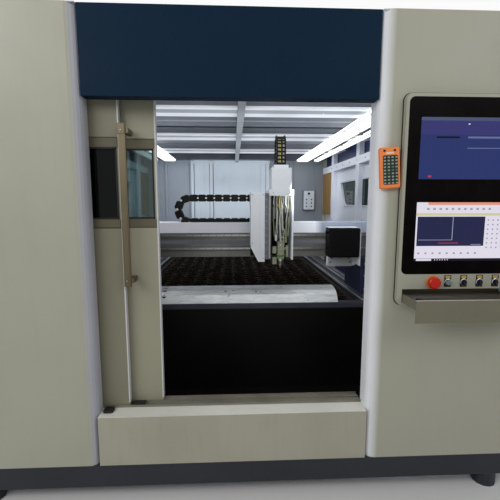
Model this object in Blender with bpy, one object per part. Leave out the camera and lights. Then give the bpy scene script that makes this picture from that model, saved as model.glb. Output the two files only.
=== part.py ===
"""Enclosed fiber laser cutting machine, in metres with +Z up.

The operator's side looks along -Y. The origin lies on the floor, under the middle of the machine.
The shell stands on a base frame. Inside it a gantry runs along Y on the bed, a carriage runs
along X on the gantry, and the cutting head moves along Z on the carriage.
"""
import math

import bmesh
import bpy
from mathutils import Vector

# Values that many pieces share
SEAT = 0.0003           # gap between two pieces that touch
OVERRUN = 0.01          # how far a cutter runs past the faces that it cuts
SHEET = 0.004           # folded cladding sheet
THIN_SHEET = 0.002      # small folded covers
ROUND_STEPS = 24        # sides of a turned piece
CORNER_STEPS = 5        # straight steps in a rounded corner

# Enclosure
WIDTH = 3.00
DEPTH = 4.30
HEIGHT = 2.45
ROOF_SPACE = 0.15       # from the cabin ceiling to the top of the front wall
CEILING = HEIGHT - ROOF_SPACE
WALL = 0.11
FRONT_WALL = 0.20       # depth of the front wall behind its face

# Drawer of the console, pulled out as it stands
DRAWER_OUT = 0.17
DRAWER_SHEET = 0.003
DRAWER_REACH = DRAWER_OUT + DRAWER_SHEET

FRONT = -(DEPTH - DRAWER_REACH) / 2
BACK = FRONT + DEPTH
SIDE = WIDTH / 2
INNER_SIDE = SIDE - WALL

# Base frame and its levelling feet
FOOT_HEIGHT = 0.08
FOOT_RADIUS = 0.06
FOOT_INSET = 0.15
BASE_TUBE = 0.12
BASE_TOP = FOOT_HEIGHT + BASE_TUBE
CROSS_SHARES = (0.25, 0.5, 0.75)

# Doorway
DOOR_LEFT = -0.76
DOOR_RIGHT = 0.64
SILL_TOP = 0.467
HEADER_HEIGHT = 0.40
HEADER_LOW = HEIGHT - HEADER_HEIGHT
CORNER_RADIUS = 0.05
JAMB_DEPTH = 0.11       # the rear leaf closes behind the right column's jamb
POCKET = 0.085          # depth of the left column in front of the door leaves
HEADER_SET_BACK = 0.012
HEADER_DEPTH = 0.068

# Door leaves, the track that they run on and the rail over them
LEAF_WIDTH = 0.75
LEAF_THICK = 0.030
LEAF_RISE = 0.08        # the leaves run up behind the header
LEAF_TOP = HEADER_LOW + LEAF_RISE
LEAF_A_RIGHT = -0.62
LEAF_B_RIGHT = -0.45
LEAF_A_FRONT = 0.100
LEAF_GAP = 0.015
LEAF_STILE = 0.014
LEAF_REAR_STILE = 0.08
LEAF_HEAD = 0.30
WINDOW_HEIGHT = 0.352
WINDOW_HIGH = LEAF_TOP - LEAF_HEAD
WINDOW_LOW = WINDOW_HIGH - WINDOW_HEIGHT
PANE_THICK = 0.006
LEAF_BEVEL = 0.003
TRACK_BASE = 0.004
TRACK_RIB = 0.005
TRACK_RIB_HEIGHT = 0.012
TRACK_PLAY = 0.003
RAIL_BASE = 0.006

# Door handle
HANDLE_RIGHT = -0.578
HANDLE_WIDTH = 0.026
HANDLE_THICK = 0.012
HANDLE_LENGTH = 0.803
HANDLE_DROP = 0.192
HANDLE_HIGH = LEAF_TOP - HANDLE_DROP
HANDLE_LOW = HANDLE_HIGH - HANDLE_LENGTH
HANDLE_STAND = 0.060    # bar's front face behind the machine's front face
HANDLE_LUG = 0.024
HANDLE_LUG_INSET = 0.02

# Side walls
SKIN = 0.05
POST_WIDTH = 0.11
POST_PLACES = (-1.60, -0.64, 0.47, 1.56)
MID_RAIL_DROP = 0.20
MID_RAIL_HEIGHT = 0.09
MID_RAIL_HIGH = CEILING - MID_RAIL_DROP
MID_RAIL_LOW = MID_RAIL_HIGH - MID_RAIL_HEIGHT
SIDE_WINDOW_NEAR = -0.75
SIDE_WINDOW_FAR = 1.33
SIDE_WINDOW_DROP = 0.18
SIDE_WINDOW_HEIGHT = 0.30
SIDE_WINDOW_HIGH = MID_RAIL_LOW - SIDE_WINDOW_DROP
SIDE_WINDOW_LOW = SIDE_WINDOW_HIGH - SIDE_WINDOW_HEIGHT
SIDE_WINDOW_SLANT = 0.175
SIDE_WINDOW_ROUND = 0.07
SIDE_PANE = 0.006

# Back wall
BACK_WALL = 0.10
PANEL_RECESS = 0.015
BACK_PANEL_MARGIN = 0.12
BACK_PANEL_COUNT = 3
JUNCTION_X = 1.16
JUNCTION_Z = 1.60
JUNCTION_SIZE = (0.19, 0.06, 0.32)

# Roof
ROOF_SHEET = 0.004
RIB_PITCH = 0.215
RIB_DEPTH = 0.05
RIB_SLOPE = 0.03
RIB_TOP_SHARE = 0.45
ROOF_BEAM_WIDTH = 0.10
ROOF_BEAM_DEPTH = 0.08
ROOF_BEAM_PLACES = (-1.72, -1.05, 0.0, 1.03, 2.00)
CONDUIT_WIDTH = 0.05
CONDUIT_DEPTH = 0.04
LED_INNER = 0.93
LED_WIDTH = 0.17
LED_THICK = 0.03
LED_FRONT = -1.70
LED_REAR = 1.95

# Bed
BED_FRONT = -1.27
BED_REAR = 1.95
BED_SIDE_OUTER = 1.14
BED_SIDE_WIDTH = 0.21
BED_SIDE_INNER = BED_SIDE_OUTER - BED_SIDE_WIDTH
BED_TOP = 0.80
BED_CROSS = 0.12
BED_CROSS_HEIGHT = 0.25
FRONT_BAR_HEIGHT = 0.04
FRONT_BAR_DEPTH = 0.05
FRONT_PANEL_THICK = 0.006
GUIDE_INSET = 0.14
GUIDE_X = BED_SIDE_OUTER - GUIDE_INSET
GUIDE_WIDTH = 0.034
GUIDE_HEIGHT = 0.036
GUIDE_BASE = 0.004
RACK_INSET = 0.085
RACK_X = BED_SIDE_OUTER - RACK_INSET
RACK_WIDTH = 0.025
RACK_HEIGHT = 0.030

# Slat table
TABLE_GAP = 0.03
TABLE_SIDE = BED_SIDE_INNER - TABLE_GAP
TABLE_TUBE = 0.08
TABLE_LOW = 0.70
TABLE_TOP = 0.80
TABLE_FRONT_GAP = 0.004
SLAT_THICK = 0.006
SLAT_TOP = 0.838
SLAT_TOOTH = 0.018
SLAT_LOW = 0.72
SLAT_PITCH = 0.106
TOOTH_PITCH = 0.115
SLAT_BITE = 0.02

# Loose cover sheet on the front of the table
APRON_INSET = 0.20
APRON_SIDE = TABLE_SIDE - APRON_INSET
APRON_SHEET = 0.003
APRON_REAR = -0.80
APRON_RISE = 0.085
APRON_STEPS = 12
APRON_CREST_SHARE = 0.62

# Gantry
BEAM_FRONT = -0.91
BEAM_DEPTH = 0.22
BEAM_INSET = 0.02
BEAM_SIDE = BED_SIDE_OUTER - BEAM_INSET
BEAM_LOW = 1.13
BEAM_TOP = 1.32
BEAM_LEDGE = 0.045
BEAM_LEDGE_DEPTH = 0.012
BEAM_GUIDE = 0.018
BEAM_GUIDE_HEIGHT = 0.024
BEAM_GUIDE_LOW = 1.185
BEAM_GUIDE_HIGH = 1.290
TRAY_TOP = 1.402
LEG_WIDTH = 0.17
LEG_INNER = BEAM_SIDE - LEG_WIDTH
LEG_FRONT = -1.02
LEG_REAR = -0.60

# Drive boxes on the ends of the beam
BOX_GAP = 0.025
BOX_WIDTH = 0.245
BOX_OUTER = LEG_INNER - BOX_GAP
BOX_INNER = BOX_OUTER - BOX_WIDTH
BOX_FRONT = -1.06
BOX_LOW = 1.135
BOX_TOP = 1.368
BOX_BEVEL = 0.012
BRACKET_LOW = 1.056
BRACKET_THICK = 0.012
COVER_LOW = 1.07

# Pinions of the gantry drive
PINION_RADIUS = 0.030
PINION_PLAY = 0.0006
PINION_TEETH = 15
PINION_TOOTH = 0.005
PINION_HEIGHT = 0.026
PINION_SHAFT = 0.010
PINION_BORE = 0.0115
PINION_SHAFT_TOP = 0.93

# Carriage
CARRIAGE_LEFT = 0.07
CARRIAGE_RIGHT = 0.385
PLATE_THICK = 0.022
PLATE_LOW = 1.14
PLATE_HIGH = 1.635
ARM_THICK = 0.010
COVER_FRONT = -1.15
COVER_REAR_GAP = 0.006
COVER_RIGHT = 0.172
COVER_BOTTOM = 1.123
COVER_CHAMFER_X = 0.055
COVER_CHAMFER_Z = 0.105
Z_BOX_LEFT = 0.221
Z_BOX_RIGHT = 0.366
Z_BOX_TOP = 1.812
Z_BOX_LOW = 1.652
Z_CAP_INSET = 0.020
Z_CAP_HEIGHT = 0.022
Z_BAND_HEIGHT = 0.040
Z_BAND_SPREAD = 0.018
SIDE_PLATE = 0.012
SIDE_PLATE_LOW = 1.137

# Head
HEAD_X = 0.298
HEAD_Y = -1.085
SLIDE_LEFT = 0.232
SLIDE_RIGHT = 0.360
SLIDE_THICK = 0.016
SLIDE_LOW = 1.17
SLIDE_HIGH = 1.52
SLIDE_PAD = 0.012
SLIDE_PAD_WIDTH = 0.018
HEAD_HALF = 0.026
HEAD_LOW = 1.135
HEAD_HIGH = 1.33
HEAD_NECK = 0.021
HEAD_TOP = 1.42
HEAD_BEVEL = 0.004
NOZZLE_TIP = 1.063
NOZZLE_TIP_RADIUS = 0.004
NOZZLE_BASE_RADIUS = 0.020
NOZZLE_SHOULDER = 1.085
NOZZLE_COLLAR = 1.112

# Energy chains
CHAIN_HEIGHT = 0.050
CHAIN_WIDTH = 0.080
CHAIN_LOW = 1.4023
CHAIN_HIGH = 1.572
CHAIN_Y = -0.80
CHAIN_LOOP_X = -0.41
CHAIN_ANCHOR_X = 0.26
CHAIN_ARM_X = 0.20
CHAIN_STEPS = 14
Z_CHAIN_X = 0.290
Z_CHAIN_WIDTH = 0.082
Z_CHAIN_THICK = 0.040
Z_CHAIN_FRONT = -1.085
Z_CHAIN_TOP = 2.065
HOSE_RADIUS = 0.011
HOSE_PLACES = (0.246, 0.270, 0.294, 0.318, 0.342)
HOSE_SIDES = 8

# Console on the right column
SCREEN_WIDTH = 0.515
SCREEN_BORDER_LEFT = 0.077
SCREEN_BORDER_RIGHT = 0.088
CONSOLE_INSET = 0.065
CONSOLE_RIGHT = SIDE - CONSOLE_INSET
SCREEN_LEFT = CONSOLE_RIGHT - SCREEN_BORDER_RIGHT - SCREEN_WIDTH
CONSOLE_LEFT = SCREEN_LEFT - SCREEN_BORDER_LEFT
CONSOLE_LOW = 1.046
CONSOLE_TOP = 2.075
CONSOLE_THICK = 0.030
CONSOLE_CORNER = 0.035
GLASS_MARGIN = 0.016
GLASS_LOW = 1.206
GLASS_TOP = 2.055
GLASS_THICK = 0.008
SCREEN_HEIGHT = 0.290
UPPER_SCREEN_LOW = 1.672
LOWER_SCREEN_LOW = 1.272
SCREEN_DEPTH = 0.003
CONTROL_Z = 1.165
ESTOP_X = 0.935
START_X = 1.011
SELECTOR_PITCH = 0.0815
BORE_PLAY = 0.0008
STEM_LENGTH = 0.022
ESTOP_HEAD = 0.030
ESTOP_STEM = 0.013
ESTOP_NECK = 0.012
ESTOP_CAP = 0.016
START_HEAD = 0.013
START_CAP = 0.007
START_NECK = 0.006
START_STEM = 0.009
SELECTOR_HEAD = 0.015
SELECTOR_CAP = 0.006
SELECTOR_GRIP = 0.008
SELECTOR_GRIP_WIDTH = 0.007
SELECTOR_STEM = 0.009

# Keyboard drawer
DRAWER_INSET_LEFT = 0.030
DRAWER_INSET_RIGHT = 0.017
DRAWER_LEFT = CONSOLE_LEFT + DRAWER_INSET_LEFT
DRAWER_RIGHT = CONSOLE_RIGHT - DRAWER_INSET_RIGHT
DRAWER_LOW = 1.062
DRAWER_HIGH = 1.106
DRAWER_TAIL = 0.15
DRAWER_FRONT_LOW = 1.000
DRAWER_FRONT_HIGH = 1.108
SLOT_PLAY = 0.004
SLOT_TOP = 1.131
KEYBOARD_INSET = 0.075
KEYBOARD_WIDTH = 0.44
KEYBOARD_LEFT = DRAWER_LEFT + KEYBOARD_INSET
KEYBOARD_RIGHT = KEYBOARD_LEFT + KEYBOARD_WIDTH
KEYBOARD_FRONT = 0.030
KEYBOARD_DEPTH = 0.125
KEYBOARD_THICK = 0.016

# Hand remote on the column
REMOTE_GAP = 0.061
REMOTE_X = CONSOLE_LEFT - REMOTE_GAP
REMOTE_Z = 1.725
REMOTE_WIDTH = 0.098
REMOTE_HEIGHT = 0.195
REMOTE_THICK = 0.028
REMOTE_TILT = -4.0
REMOTE_BEVEL = 0.006


# %% Materials
def paint(name, colour, roughness=0.5, metallic=0.0):
    """A Principled material in one colour."""
    made = bpy.data.materials.get(name)
    if made is None:
        made = bpy.data.materials.new(name)
        made.use_nodes = True
        shader = made.node_tree.nodes["Principled BSDF"]
        shader.inputs["Base Color"].default_value = (*colour, 1.0)
        shader.inputs["Roughness"].default_value = roughness
        shader.inputs["Metallic"].default_value = metallic
        made.diffuse_color = (*colour, 1.0)
    return made


def white_paint():
    return paint("white_paint", (0.62, 0.63, 0.58), 0.45)


def cover_white():
    return paint("cover_white", (0.80, 0.80, 0.84), 0.40)


def blue_paint():
    return paint("blue_paint", (0.010, 0.040, 0.090), 0.40)


def dark_steel():
    return paint("dark_steel", (0.05, 0.05, 0.06), 0.55, 0.6)


def black_paint():
    return paint("black_paint", (0.010, 0.010, 0.010), 0.45)


def grey_metal():
    return paint("grey_metal", (0.32, 0.33, 0.33), 0.40, 0.8)


def bright_metal():
    return paint("bright_metal", (0.62, 0.63, 0.64), 0.30, 1.0)


def glass_dark():
    return paint("glass_dark", (0.02, 0.05, 0.05), 0.05)


def plastic(name, colour):
    return paint(name, colour, 0.35)


# %% Mesh helpers
def new_object(name, mesh, finish):
    """Put a mesh in the scene under the name of its sub-part."""
    thing = bpy.data.objects.new(name, mesh)
    bpy.context.scene.collection.objects.link(thing)
    if finish is not None:
        mesh.materials.append(finish)
    return thing


def mesh_from(name, points, faces):
    mesh = bpy.data.meshes.new(name)
    mesh.from_pydata(points, [], faces)
    mesh.validate()
    return mesh


def box(name, low, high, finish=None, bevel=0.0):
    """A block between two corners, with its origin in its middle."""
    middle = [(a + b) / 2 for a, b in zip(low, high)]
    half = [(b - a) / 2 for a, b in zip(low, high)]
    signs = [(x, y, z) for x in (-1, 1) for y in (-1, 1) for z in (-1, 1)]
    points = [tuple(s * h for s, h in zip(sign, half)) for sign in signs]
    faces = [(0, 1, 3, 2), (4, 6, 7, 5), (0, 4, 5, 1), (2, 3, 7, 6), (0, 2, 6, 4), (1, 5, 7, 3)]
    thing = new_object(name, mesh_from(name, points, faces), finish)
    thing.location = middle
    if bevel:
        add_bevel(thing, bevel)
    return thing


def add_bevel(thing, width, segments=1):
    edge = thing.modifiers.new("edge", "BEVEL")
    edge.width = width
    edge.segments = segments
    edge.limit_method = "ANGLE"


def prism(name, outline, axis, start, end, finish=None):
    """An outline in the plane across an axis, drawn out along that axis.

    Along X the outline is in (y, z), along Y it is in (x, z), and along Z it is in (x, y).
    """
    place = {
        "X": lambda a, b, t: (t, a, b),
        "Y": lambda a, b, t: (a, t, b),
        "Z": lambda a, b, t: (a, b, t),
    }[axis]
    count = len(outline)
    points = [place(a, b, start) for a, b in outline] + [place(a, b, end) for a, b in outline]
    faces = [tuple(range(count)), tuple(range(count, 2 * count))]
    faces += [(i, (i + 1) % count, count + (i + 1) % count, count + i) for i in range(count)]
    mesh = mesh_from(name, points, faces)
    shape = bmesh.new()
    shape.from_mesh(mesh)
    bmesh.ops.recalc_face_normals(shape, faces=shape.faces)
    shape.to_mesh(mesh)
    shape.free()
    return new_object(name, mesh, finish)


def arc(centre, radius, start, end, steps=CORNER_STEPS):
    """Points on an arc, from one angle to another in degrees."""
    angles = [math.radians(start + (end - start) * i / steps) for i in range(steps + 1)]
    return [(centre[0] + radius * math.cos(a), centre[1] + radius * math.sin(a)) for a in angles]


def rounded_rectangle(low, high, radius):
    """The outline of a rectangle with round corners."""
    (x0, z0), (x1, z1) = low, high
    outline = arc((x1 - radius, z0 + radius), radius, -90, 0)
    outline += arc((x1 - radius, z1 - radius), radius, 0, 90)
    outline += arc((x0 + radius, z1 - radius), radius, 90, 180)
    outline += arc((x0 + radius, z0 + radius), radius, 180, 270)
    return outline


def folded(path, thickness):
    """The closed outline of a sheet folded along a path, its thickness on the path's left."""
    spots = [Vector(point) for point in path]
    offset = []
    for i, spot in enumerate(spots):
        before = (spot - spots[i - 1]).normalized() if i else None
        after = (spots[i + 1] - spot).normalized() if i < len(spots) - 1 else None
        first = before or after
        last = after or before
        normal = Vector((-first.y - last.y, first.x + last.x)).normalized()
        reach = thickness / normal.dot(Vector((-first.y, first.x)))
        offset.append(tuple(spot + normal * reach))
    return [tuple(spot) for spot in spots] + offset[::-1]


def turned(name, profile, axis, centre, finish=None, steps=ROUND_STEPS):
    """A turned piece: (radius, distance along the axis) pairs, closed at both ends."""
    points = []
    for radius, along in profile:
        for i in range(steps):
            angle = 2 * math.pi * i / steps
            a, b = radius * math.cos(angle), radius * math.sin(angle)
            points.append((a, b, along) if axis == "Z" else (a, along, b))
    rings = len(profile)
    faces = [tuple(range(steps)), tuple(range((rings - 1) * steps, rings * steps))]
    for r in range(rings - 1):
        for i in range(steps):
            j = (i + 1) % steps
            faces.append((r * steps + i, r * steps + j, (r + 1) * steps + j, (r + 1) * steps + i))
    mesh = mesh_from(name, points, faces)
    shape = bmesh.new()
    shape.from_mesh(mesh)
    bmesh.ops.recalc_face_normals(shape, faces=shape.faces)
    shape.to_mesh(mesh)
    shape.free()
    mesh.shade_smooth()
    mesh.set_sharp_from_angle(angle=math.radians(40))
    thing = new_object(name, mesh, finish)
    thing.location = centre
    return thing


def tool(thing):
    """Mark a shape as a cutter or a guide, which is no piece of the machine."""
    thing.hide_render = True
    thing.display_type = "WIRE"
    return thing


def combine(target, other, operation):
    """Cut another shape from a piece, or weld it on."""
    step = target.modifiers.new(operation.lower(), "BOOLEAN")
    step.operation = operation
    step.object = tool(other)
    step.solver = "EXACT"


def cut(target, other):
    combine(target, other, "DIFFERENCE")


def weld(target, other):
    combine(target, other, "UNION")


def cut_box(target, low, high):
    cut(target, box(target.name + "_cut", low, high))


def weld_box(target, low, high):
    weld(target, box(target.name + "_weld", low, high))


# %% Base frame
def make_base_frame():
    """Rectangular tube ring with cross members and round levelling feet."""
    low, top = FOOT_HEIGHT, BASE_TOP
    frame = box("base_frame", (-SIDE, FRONT, low), (SIDE, FRONT + BASE_TUBE, top), dark_steel())
    weld_box(frame, (-SIDE, BACK - BASE_TUBE, low), (SIDE, BACK, top))
    for side in (-1, 1):
        near, far = sorted((side * SIDE, side * (SIDE - BASE_TUBE)))
        weld_box(frame, (near, FRONT + BASE_TUBE / 2, low), (far, BACK - BASE_TUBE / 2, top))
    for share in CROSS_SHARES:
        middle = FRONT + DEPTH * share
        weld_box(frame, (-SIDE + BASE_TUBE / 2, middle - BASE_TUBE / 2, low),
                 (SIDE - BASE_TUBE / 2, middle + BASE_TUBE / 2, top))
    for x in (-SIDE + FOOT_INSET, SIDE - FOOT_INSET):
        for y in (FRONT + FOOT_RADIUS, (FRONT + BACK) / 2, BACK - FOOT_RADIUS):
            foot = turned("base_frame_foot", [(FOOT_RADIUS, 0.0), (FOOT_RADIUS, FOOT_HEIGHT + OVERRUN)],
                          "Z", (x, y, 0.0), steps=12)
            weld(frame, foot)


# %% Front wall
def make_column_left():
    """Folded sheet with a rounded inner edge. The door leaves run behind it."""
    rear = FRONT + FRONT_WALL
    path = [(-SIDE, rear), (-SIDE, FRONT)]
    path += arc((DOOR_LEFT - CORNER_RADIUS, FRONT + CORNER_RADIUS), CORNER_RADIUS, -90, 0)
    path += [(DOOR_LEFT, FRONT + POCKET)]
    column = prism("column_left", folded(path, SHEET), "Z", BASE_TOP + SEAT, HEIGHT, white_paint())
    weld_box(column, (-SIDE + SHEET / 2, FRONT + SHEET / 2, HEIGHT - SHEET),
             (DOOR_LEFT - SHEET / 2, FRONT + POCKET, HEIGHT))


def make_column_right():
    """Folded sheet with the door jamb, and a slot for the console's drawer."""
    rear = FRONT + FRONT_WALL
    path = [(DOOR_RIGHT, FRONT + JAMB_DEPTH)]
    path += arc((DOOR_RIGHT + CORNER_RADIUS, FRONT + CORNER_RADIUS), CORNER_RADIUS, 180, 270)
    path += [(SIDE, FRONT), (SIDE, rear)]
    column = prism("column_right", folded(path, SHEET), "Z", BASE_TOP + SEAT, HEIGHT, white_paint())
    weld_box(column, (DOOR_RIGHT + SHEET / 2, FRONT + SHEET / 2, HEIGHT - SHEET),
             (SIDE - SHEET / 2, rear, HEIGHT))
    cut_box(column, (DRAWER_LEFT - SLOT_PLAY, FRONT - OVERRUN, DRAWER_LOW - SLOT_PLAY),
            (DRAWER_RIGHT + SLOT_PLAY, FRONT + SHEET + OVERRUN, SLOT_TOP))
    for x, radius in control_bores():
        bore = turned("column_right_bore", [(radius + SLOT_PLAY, -OVERRUN), (radius + SLOT_PLAY, OVERRUN)],
                      "Y", (x, FRONT, CONTROL_Z), steps=12)
        cut(column, bore)


def make_header():
    """Folded fascia over the doorway."""
    face = FRONT + HEADER_SET_BACK
    path = [(face + HEADER_DEPTH, HEADER_LOW), (face, HEADER_LOW), (face, HEIGHT),
            (face + HEADER_DEPTH, HEIGHT)]
    prism("header", folded(path[::-1], SHEET), "X", DOOR_LEFT + SEAT, DOOR_RIGHT - SEAT, blue_paint())


def make_sill():
    """Folded step under the doorway, which runs on behind the left column to carry the track."""
    rear = FRONT + FRONT_WALL - SHEET
    low = BASE_TOP + SEAT
    path = [(FRONT, low), (FRONT, SILL_TOP), (rear, SILL_TOP), (rear, low)]
    sill = prism("sill", folded(path[::-1], SHEET), "X", DOOR_LEFT + SEAT, DOOR_RIGHT - SEAT, white_paint())
    shelf = FRONT + POCKET + SEAT
    path = [(shelf, low), (shelf, SILL_TOP), (rear, SILL_TOP), (rear, low)]
    weld(sill, prism("sill_pocket", folded(path[::-1], SHEET), "X", -SIDE + SHEET + SEAT,
                     DOOR_LEFT + POCKET))


def leaf_fronts():
    """Front faces of the two door leaves."""
    first = FRONT + LEAF_A_FRONT
    return first, first + LEAF_THICK + LEAF_GAP


def guide_ribs():
    """Y ranges of the three ribs that keep the leaves apart, in the track and in the rail."""
    first, second = leaf_fronts()
    rear = second + LEAF_THICK
    middle = (first + LEAF_THICK + second) / 2
    return ((first - TRACK_PLAY - TRACK_RIB, first - TRACK_PLAY),
            (middle - TRACK_RIB / 2, middle + TRACK_RIB / 2),
            (rear + TRACK_PLAY, rear + TRACK_PLAY + TRACK_RIB))


def make_door_guides():
    """The track on the sill and the rail over the leaves."""
    ribs = guide_ribs()
    left, right = -SIDE + SHEET + 2 * SEAT, DOOR_RIGHT - SEAT
    low = SILL_TOP + SEAT
    track = box("door_track", (left, ribs[0][0], low), (right, ribs[2][1], low + TRACK_BASE), bright_metal())
    for near, far in ribs:
        weld_box(track, (left, near, low + TRACK_BASE / 2), (right, far, low + TRACK_RIB_HEIGHT))
    high = LEAF_TOP + TRACK_PLAY
    rail = box("door_rail", (left, ribs[0][0], high), (right, ribs[2][1], high + RAIL_BASE), grey_metal())
    for near, far in ribs:
        weld_box(rail, (left, near, high - TRACK_RIB_HEIGHT), (right, far, high + RAIL_BASE / 2))


def make_leaf(name, right, front):
    """One sliding leaf with its window opening, and the pane that fills it."""
    low = SILL_TOP + SEAT + TRACK_BASE + SEAT
    left = right - LEAF_WIDTH
    leaf = box(name, (left, front, low), (right, front + LEAF_THICK, LEAF_TOP), white_paint())
    window_left, window_right = left + LEAF_REAR_STILE, right - LEAF_STILE
    cut_box(leaf, (window_left, front - OVERRUN, WINDOW_LOW),
            (window_right, front + LEAF_THICK + OVERRUN, WINDOW_HIGH))
    middle = front + LEAF_THICK / 2
    box(name + "_glass", (window_left + SEAT, middle - PANE_THICK / 2, WINDOW_LOW + SEAT),
        (window_right - SEAT, middle + PANE_THICK / 2, WINDOW_HIGH - SEAT), glass_dark())


def make_door():
    """Two telescoping leaves, slid open, and the bar handle of the rear one."""
    first, second = leaf_fronts()
    make_leaf("door_leaf_front", LEAF_A_RIGHT, first)
    make_leaf("door_leaf_rear", LEAF_B_RIGHT, second)
    bar_front = FRONT + HANDLE_STAND
    bar_right = HANDLE_RIGHT
    handle = box("door_handle", (bar_right - HANDLE_WIDTH, bar_front, HANDLE_LOW),
                 (bar_right, bar_front + HANDLE_THICK, HANDLE_HIGH), bright_metal())
    for low in (HANDLE_LOW + HANDLE_LUG_INSET, HANDLE_HIGH - HANDLE_LUG_INSET - HANDLE_LUG):
        weld_box(handle, (bar_right - HANDLE_THICK, bar_front + HANDLE_THICK / 2, low),
                 (bar_right + HANDLE_THICK, second - SEAT, low + HANDLE_LUG))


# %% Side walls, back wall and roof
def make_side_wall(side, name):
    """Sheet skin with welded posts, a rail under the roof and one long slanted window."""
    front = FRONT + FRONT_WALL + SEAT
    low = BASE_TOP + SEAT
    skin_inner = SIDE - SKIN
    near, far = sorted((side * SIDE, side * skin_inner))
    wall = box(name, (near, front, low), (far, BACK, CEILING), white_paint())
    lip = SKIN / 2
    near, far = sorted((side * (skin_inner + lip), side * INNER_SIDE))
    weld_box(wall, (near, front, MID_RAIL_LOW), (far, BACK - BACK_WALL - SEAT, MID_RAIL_HIGH))
    for place in POST_PLACES:
        weld_box(wall, (near, place - POST_WIDTH / 2, low), (far, place + POST_WIDTH / 2, CEILING))
    outline = side_window_outline(0.0)
    cut_from, cut_to = sorted((side * (skin_inner - OVERRUN), side * (SIDE + OVERRUN)))
    cut(wall, prism(name + "_window", outline, "X", cut_from, cut_to))
    pane_near, pane_far = sorted((side * (skin_inner + lip), side * (skin_inner + lip + SIDE_PANE)))
    prism(name + "_pane", side_window_outline(SEAT), "X", pane_near, pane_far, glass_dark())
    seat_near, seat_far = skin_inner + lip - SEAT, skin_inner + lip + SIDE_PANE + SEAT
    cut_from, cut_to = sorted((side * seat_near, side * seat_far))
    cut(wall, prism(name + "_pane_seat", side_window_outline(0.0), "X", cut_from, cut_to))


def eased_corner(start, corner, end):
    """Points on a curve that leaves the outline before a corner and joins it after."""
    points = []
    for i in range(CORNER_STEPS + 1):
        t = i / CORNER_STEPS
        points.append(tuple((1 - t) ** 2 * a + 2 * t * (1 - t) * b + t * t * c
                            for a, b, c in zip(start, corner, end)))
    return points


def side_window_outline(inset):
    """The window's outline in (y, z), with both ends slanted and the low corners rounded."""
    low, high = SIDE_WINDOW_LOW + inset, SIDE_WINDOW_HIGH - inset
    near, far = SIDE_WINDOW_NEAR + inset, SIDE_WINDOW_FAR - inset
    size = SIDE_WINDOW_ROUND
    lean = size * SIDE_WINDOW_SLANT / (SIDE_WINDOW_HIGH - SIDE_WINDOW_LOW)
    near_low, far_low = near + SIDE_WINDOW_SLANT, far - SIDE_WINDOW_SLANT
    outline = eased_corner((near_low - lean, low + size), (near_low, low), (near_low + size, low))
    outline += eased_corner((far_low - size, low), (far_low, low), (far_low + lean, low + size))
    return outline + [(far, high), (near, high)]


def make_back_wall():
    """Rear wall with pressed panels, and the junction box on it."""
    low = BASE_TOP + SEAT
    inner = BACK - BACK_WALL
    half = INNER_SIDE - SEAT
    wall = box("back_wall", (-half, inner, low), (half, BACK, CEILING), white_paint())
    room = 2 * half - BACK_PANEL_MARGIN * (BACK_PANEL_COUNT + 1)
    panel = room / BACK_PANEL_COUNT
    for i in range(BACK_PANEL_COUNT):
        left = -half + BACK_PANEL_MARGIN + i * (panel + BACK_PANEL_MARGIN)
        cut_box(wall, (left, inner - OVERRUN, low + BACK_PANEL_MARGIN),
                (left + panel, inner + PANEL_RECESS, CEILING - BACK_PANEL_MARGIN))
    width, depth, height = JUNCTION_SIZE
    rear = inner + PANEL_RECESS - SEAT
    box("junction_box", (JUNCTION_X - width / 2, rear - depth, JUNCTION_Z - height / 2),
        (JUNCTION_X + width / 2, rear, JUNCTION_Z + height / 2), grey_metal(), LEAF_BEVEL)


def roof_path(start, end, base):
    """One corrugated sheet's underside as (y, z) points."""
    count = int((end - start) / RIB_PITCH)
    pitch = (end - start) / count
    crest = pitch * RIB_TOP_SHARE
    flat = pitch - crest - 2 * RIB_SLOPE
    path = [(start, base)]
    for i in range(count):
        left = start + i * pitch + flat / 2
        path += [(left, base), (left + RIB_SLOPE, base + RIB_DEPTH),
                 (left + RIB_SLOPE + crest, base + RIB_DEPTH), (left + 2 * RIB_SLOPE + crest, base)]
    return path + [(end, base)]


def make_roof():
    """Corrugated roof sheet on cross beams, with a cable duct along the middle."""
    front = FRONT + FRONT_WALL + SEAT
    base = CEILING + SEAT
    outline = folded(roof_path(front, BACK, base), ROOF_SHEET)
    roof = prism("roof", outline, "X", -SIDE, SIDE, white_paint())
    half = INNER_SIDE - SEAT
    for place in ROOF_BEAM_PLACES:
        weld_box(roof, (-half, place - ROOF_BEAM_WIDTH / 2, CEILING - ROOF_BEAM_DEPTH),
                 (half, place + ROOF_BEAM_WIDTH / 2, base + ROOF_SHEET / 2))
    weld_box(roof, (-CONDUIT_WIDTH / 2, ROOF_BEAM_PLACES[0], CEILING - ROOF_BEAM_DEPTH - CONDUIT_DEPTH),
             (CONDUIT_WIDTH / 2, ROOF_BEAM_PLACES[-1], CEILING - ROOF_BEAM_DEPTH / 2))
    for side, name in ((-1, "led_left"), (1, "led_right")):
        near, far = sorted((side * LED_INNER, side * (LED_INNER + LED_WIDTH)))
        top = CEILING - ROOF_BEAM_DEPTH - SEAT
        box(name, (near, LED_FRONT, top - LED_THICK), (far, LED_REAR, top),
            plastic("lamp_white", (0.95, 0.95, 0.92)), LEAF_BEVEL)


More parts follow.
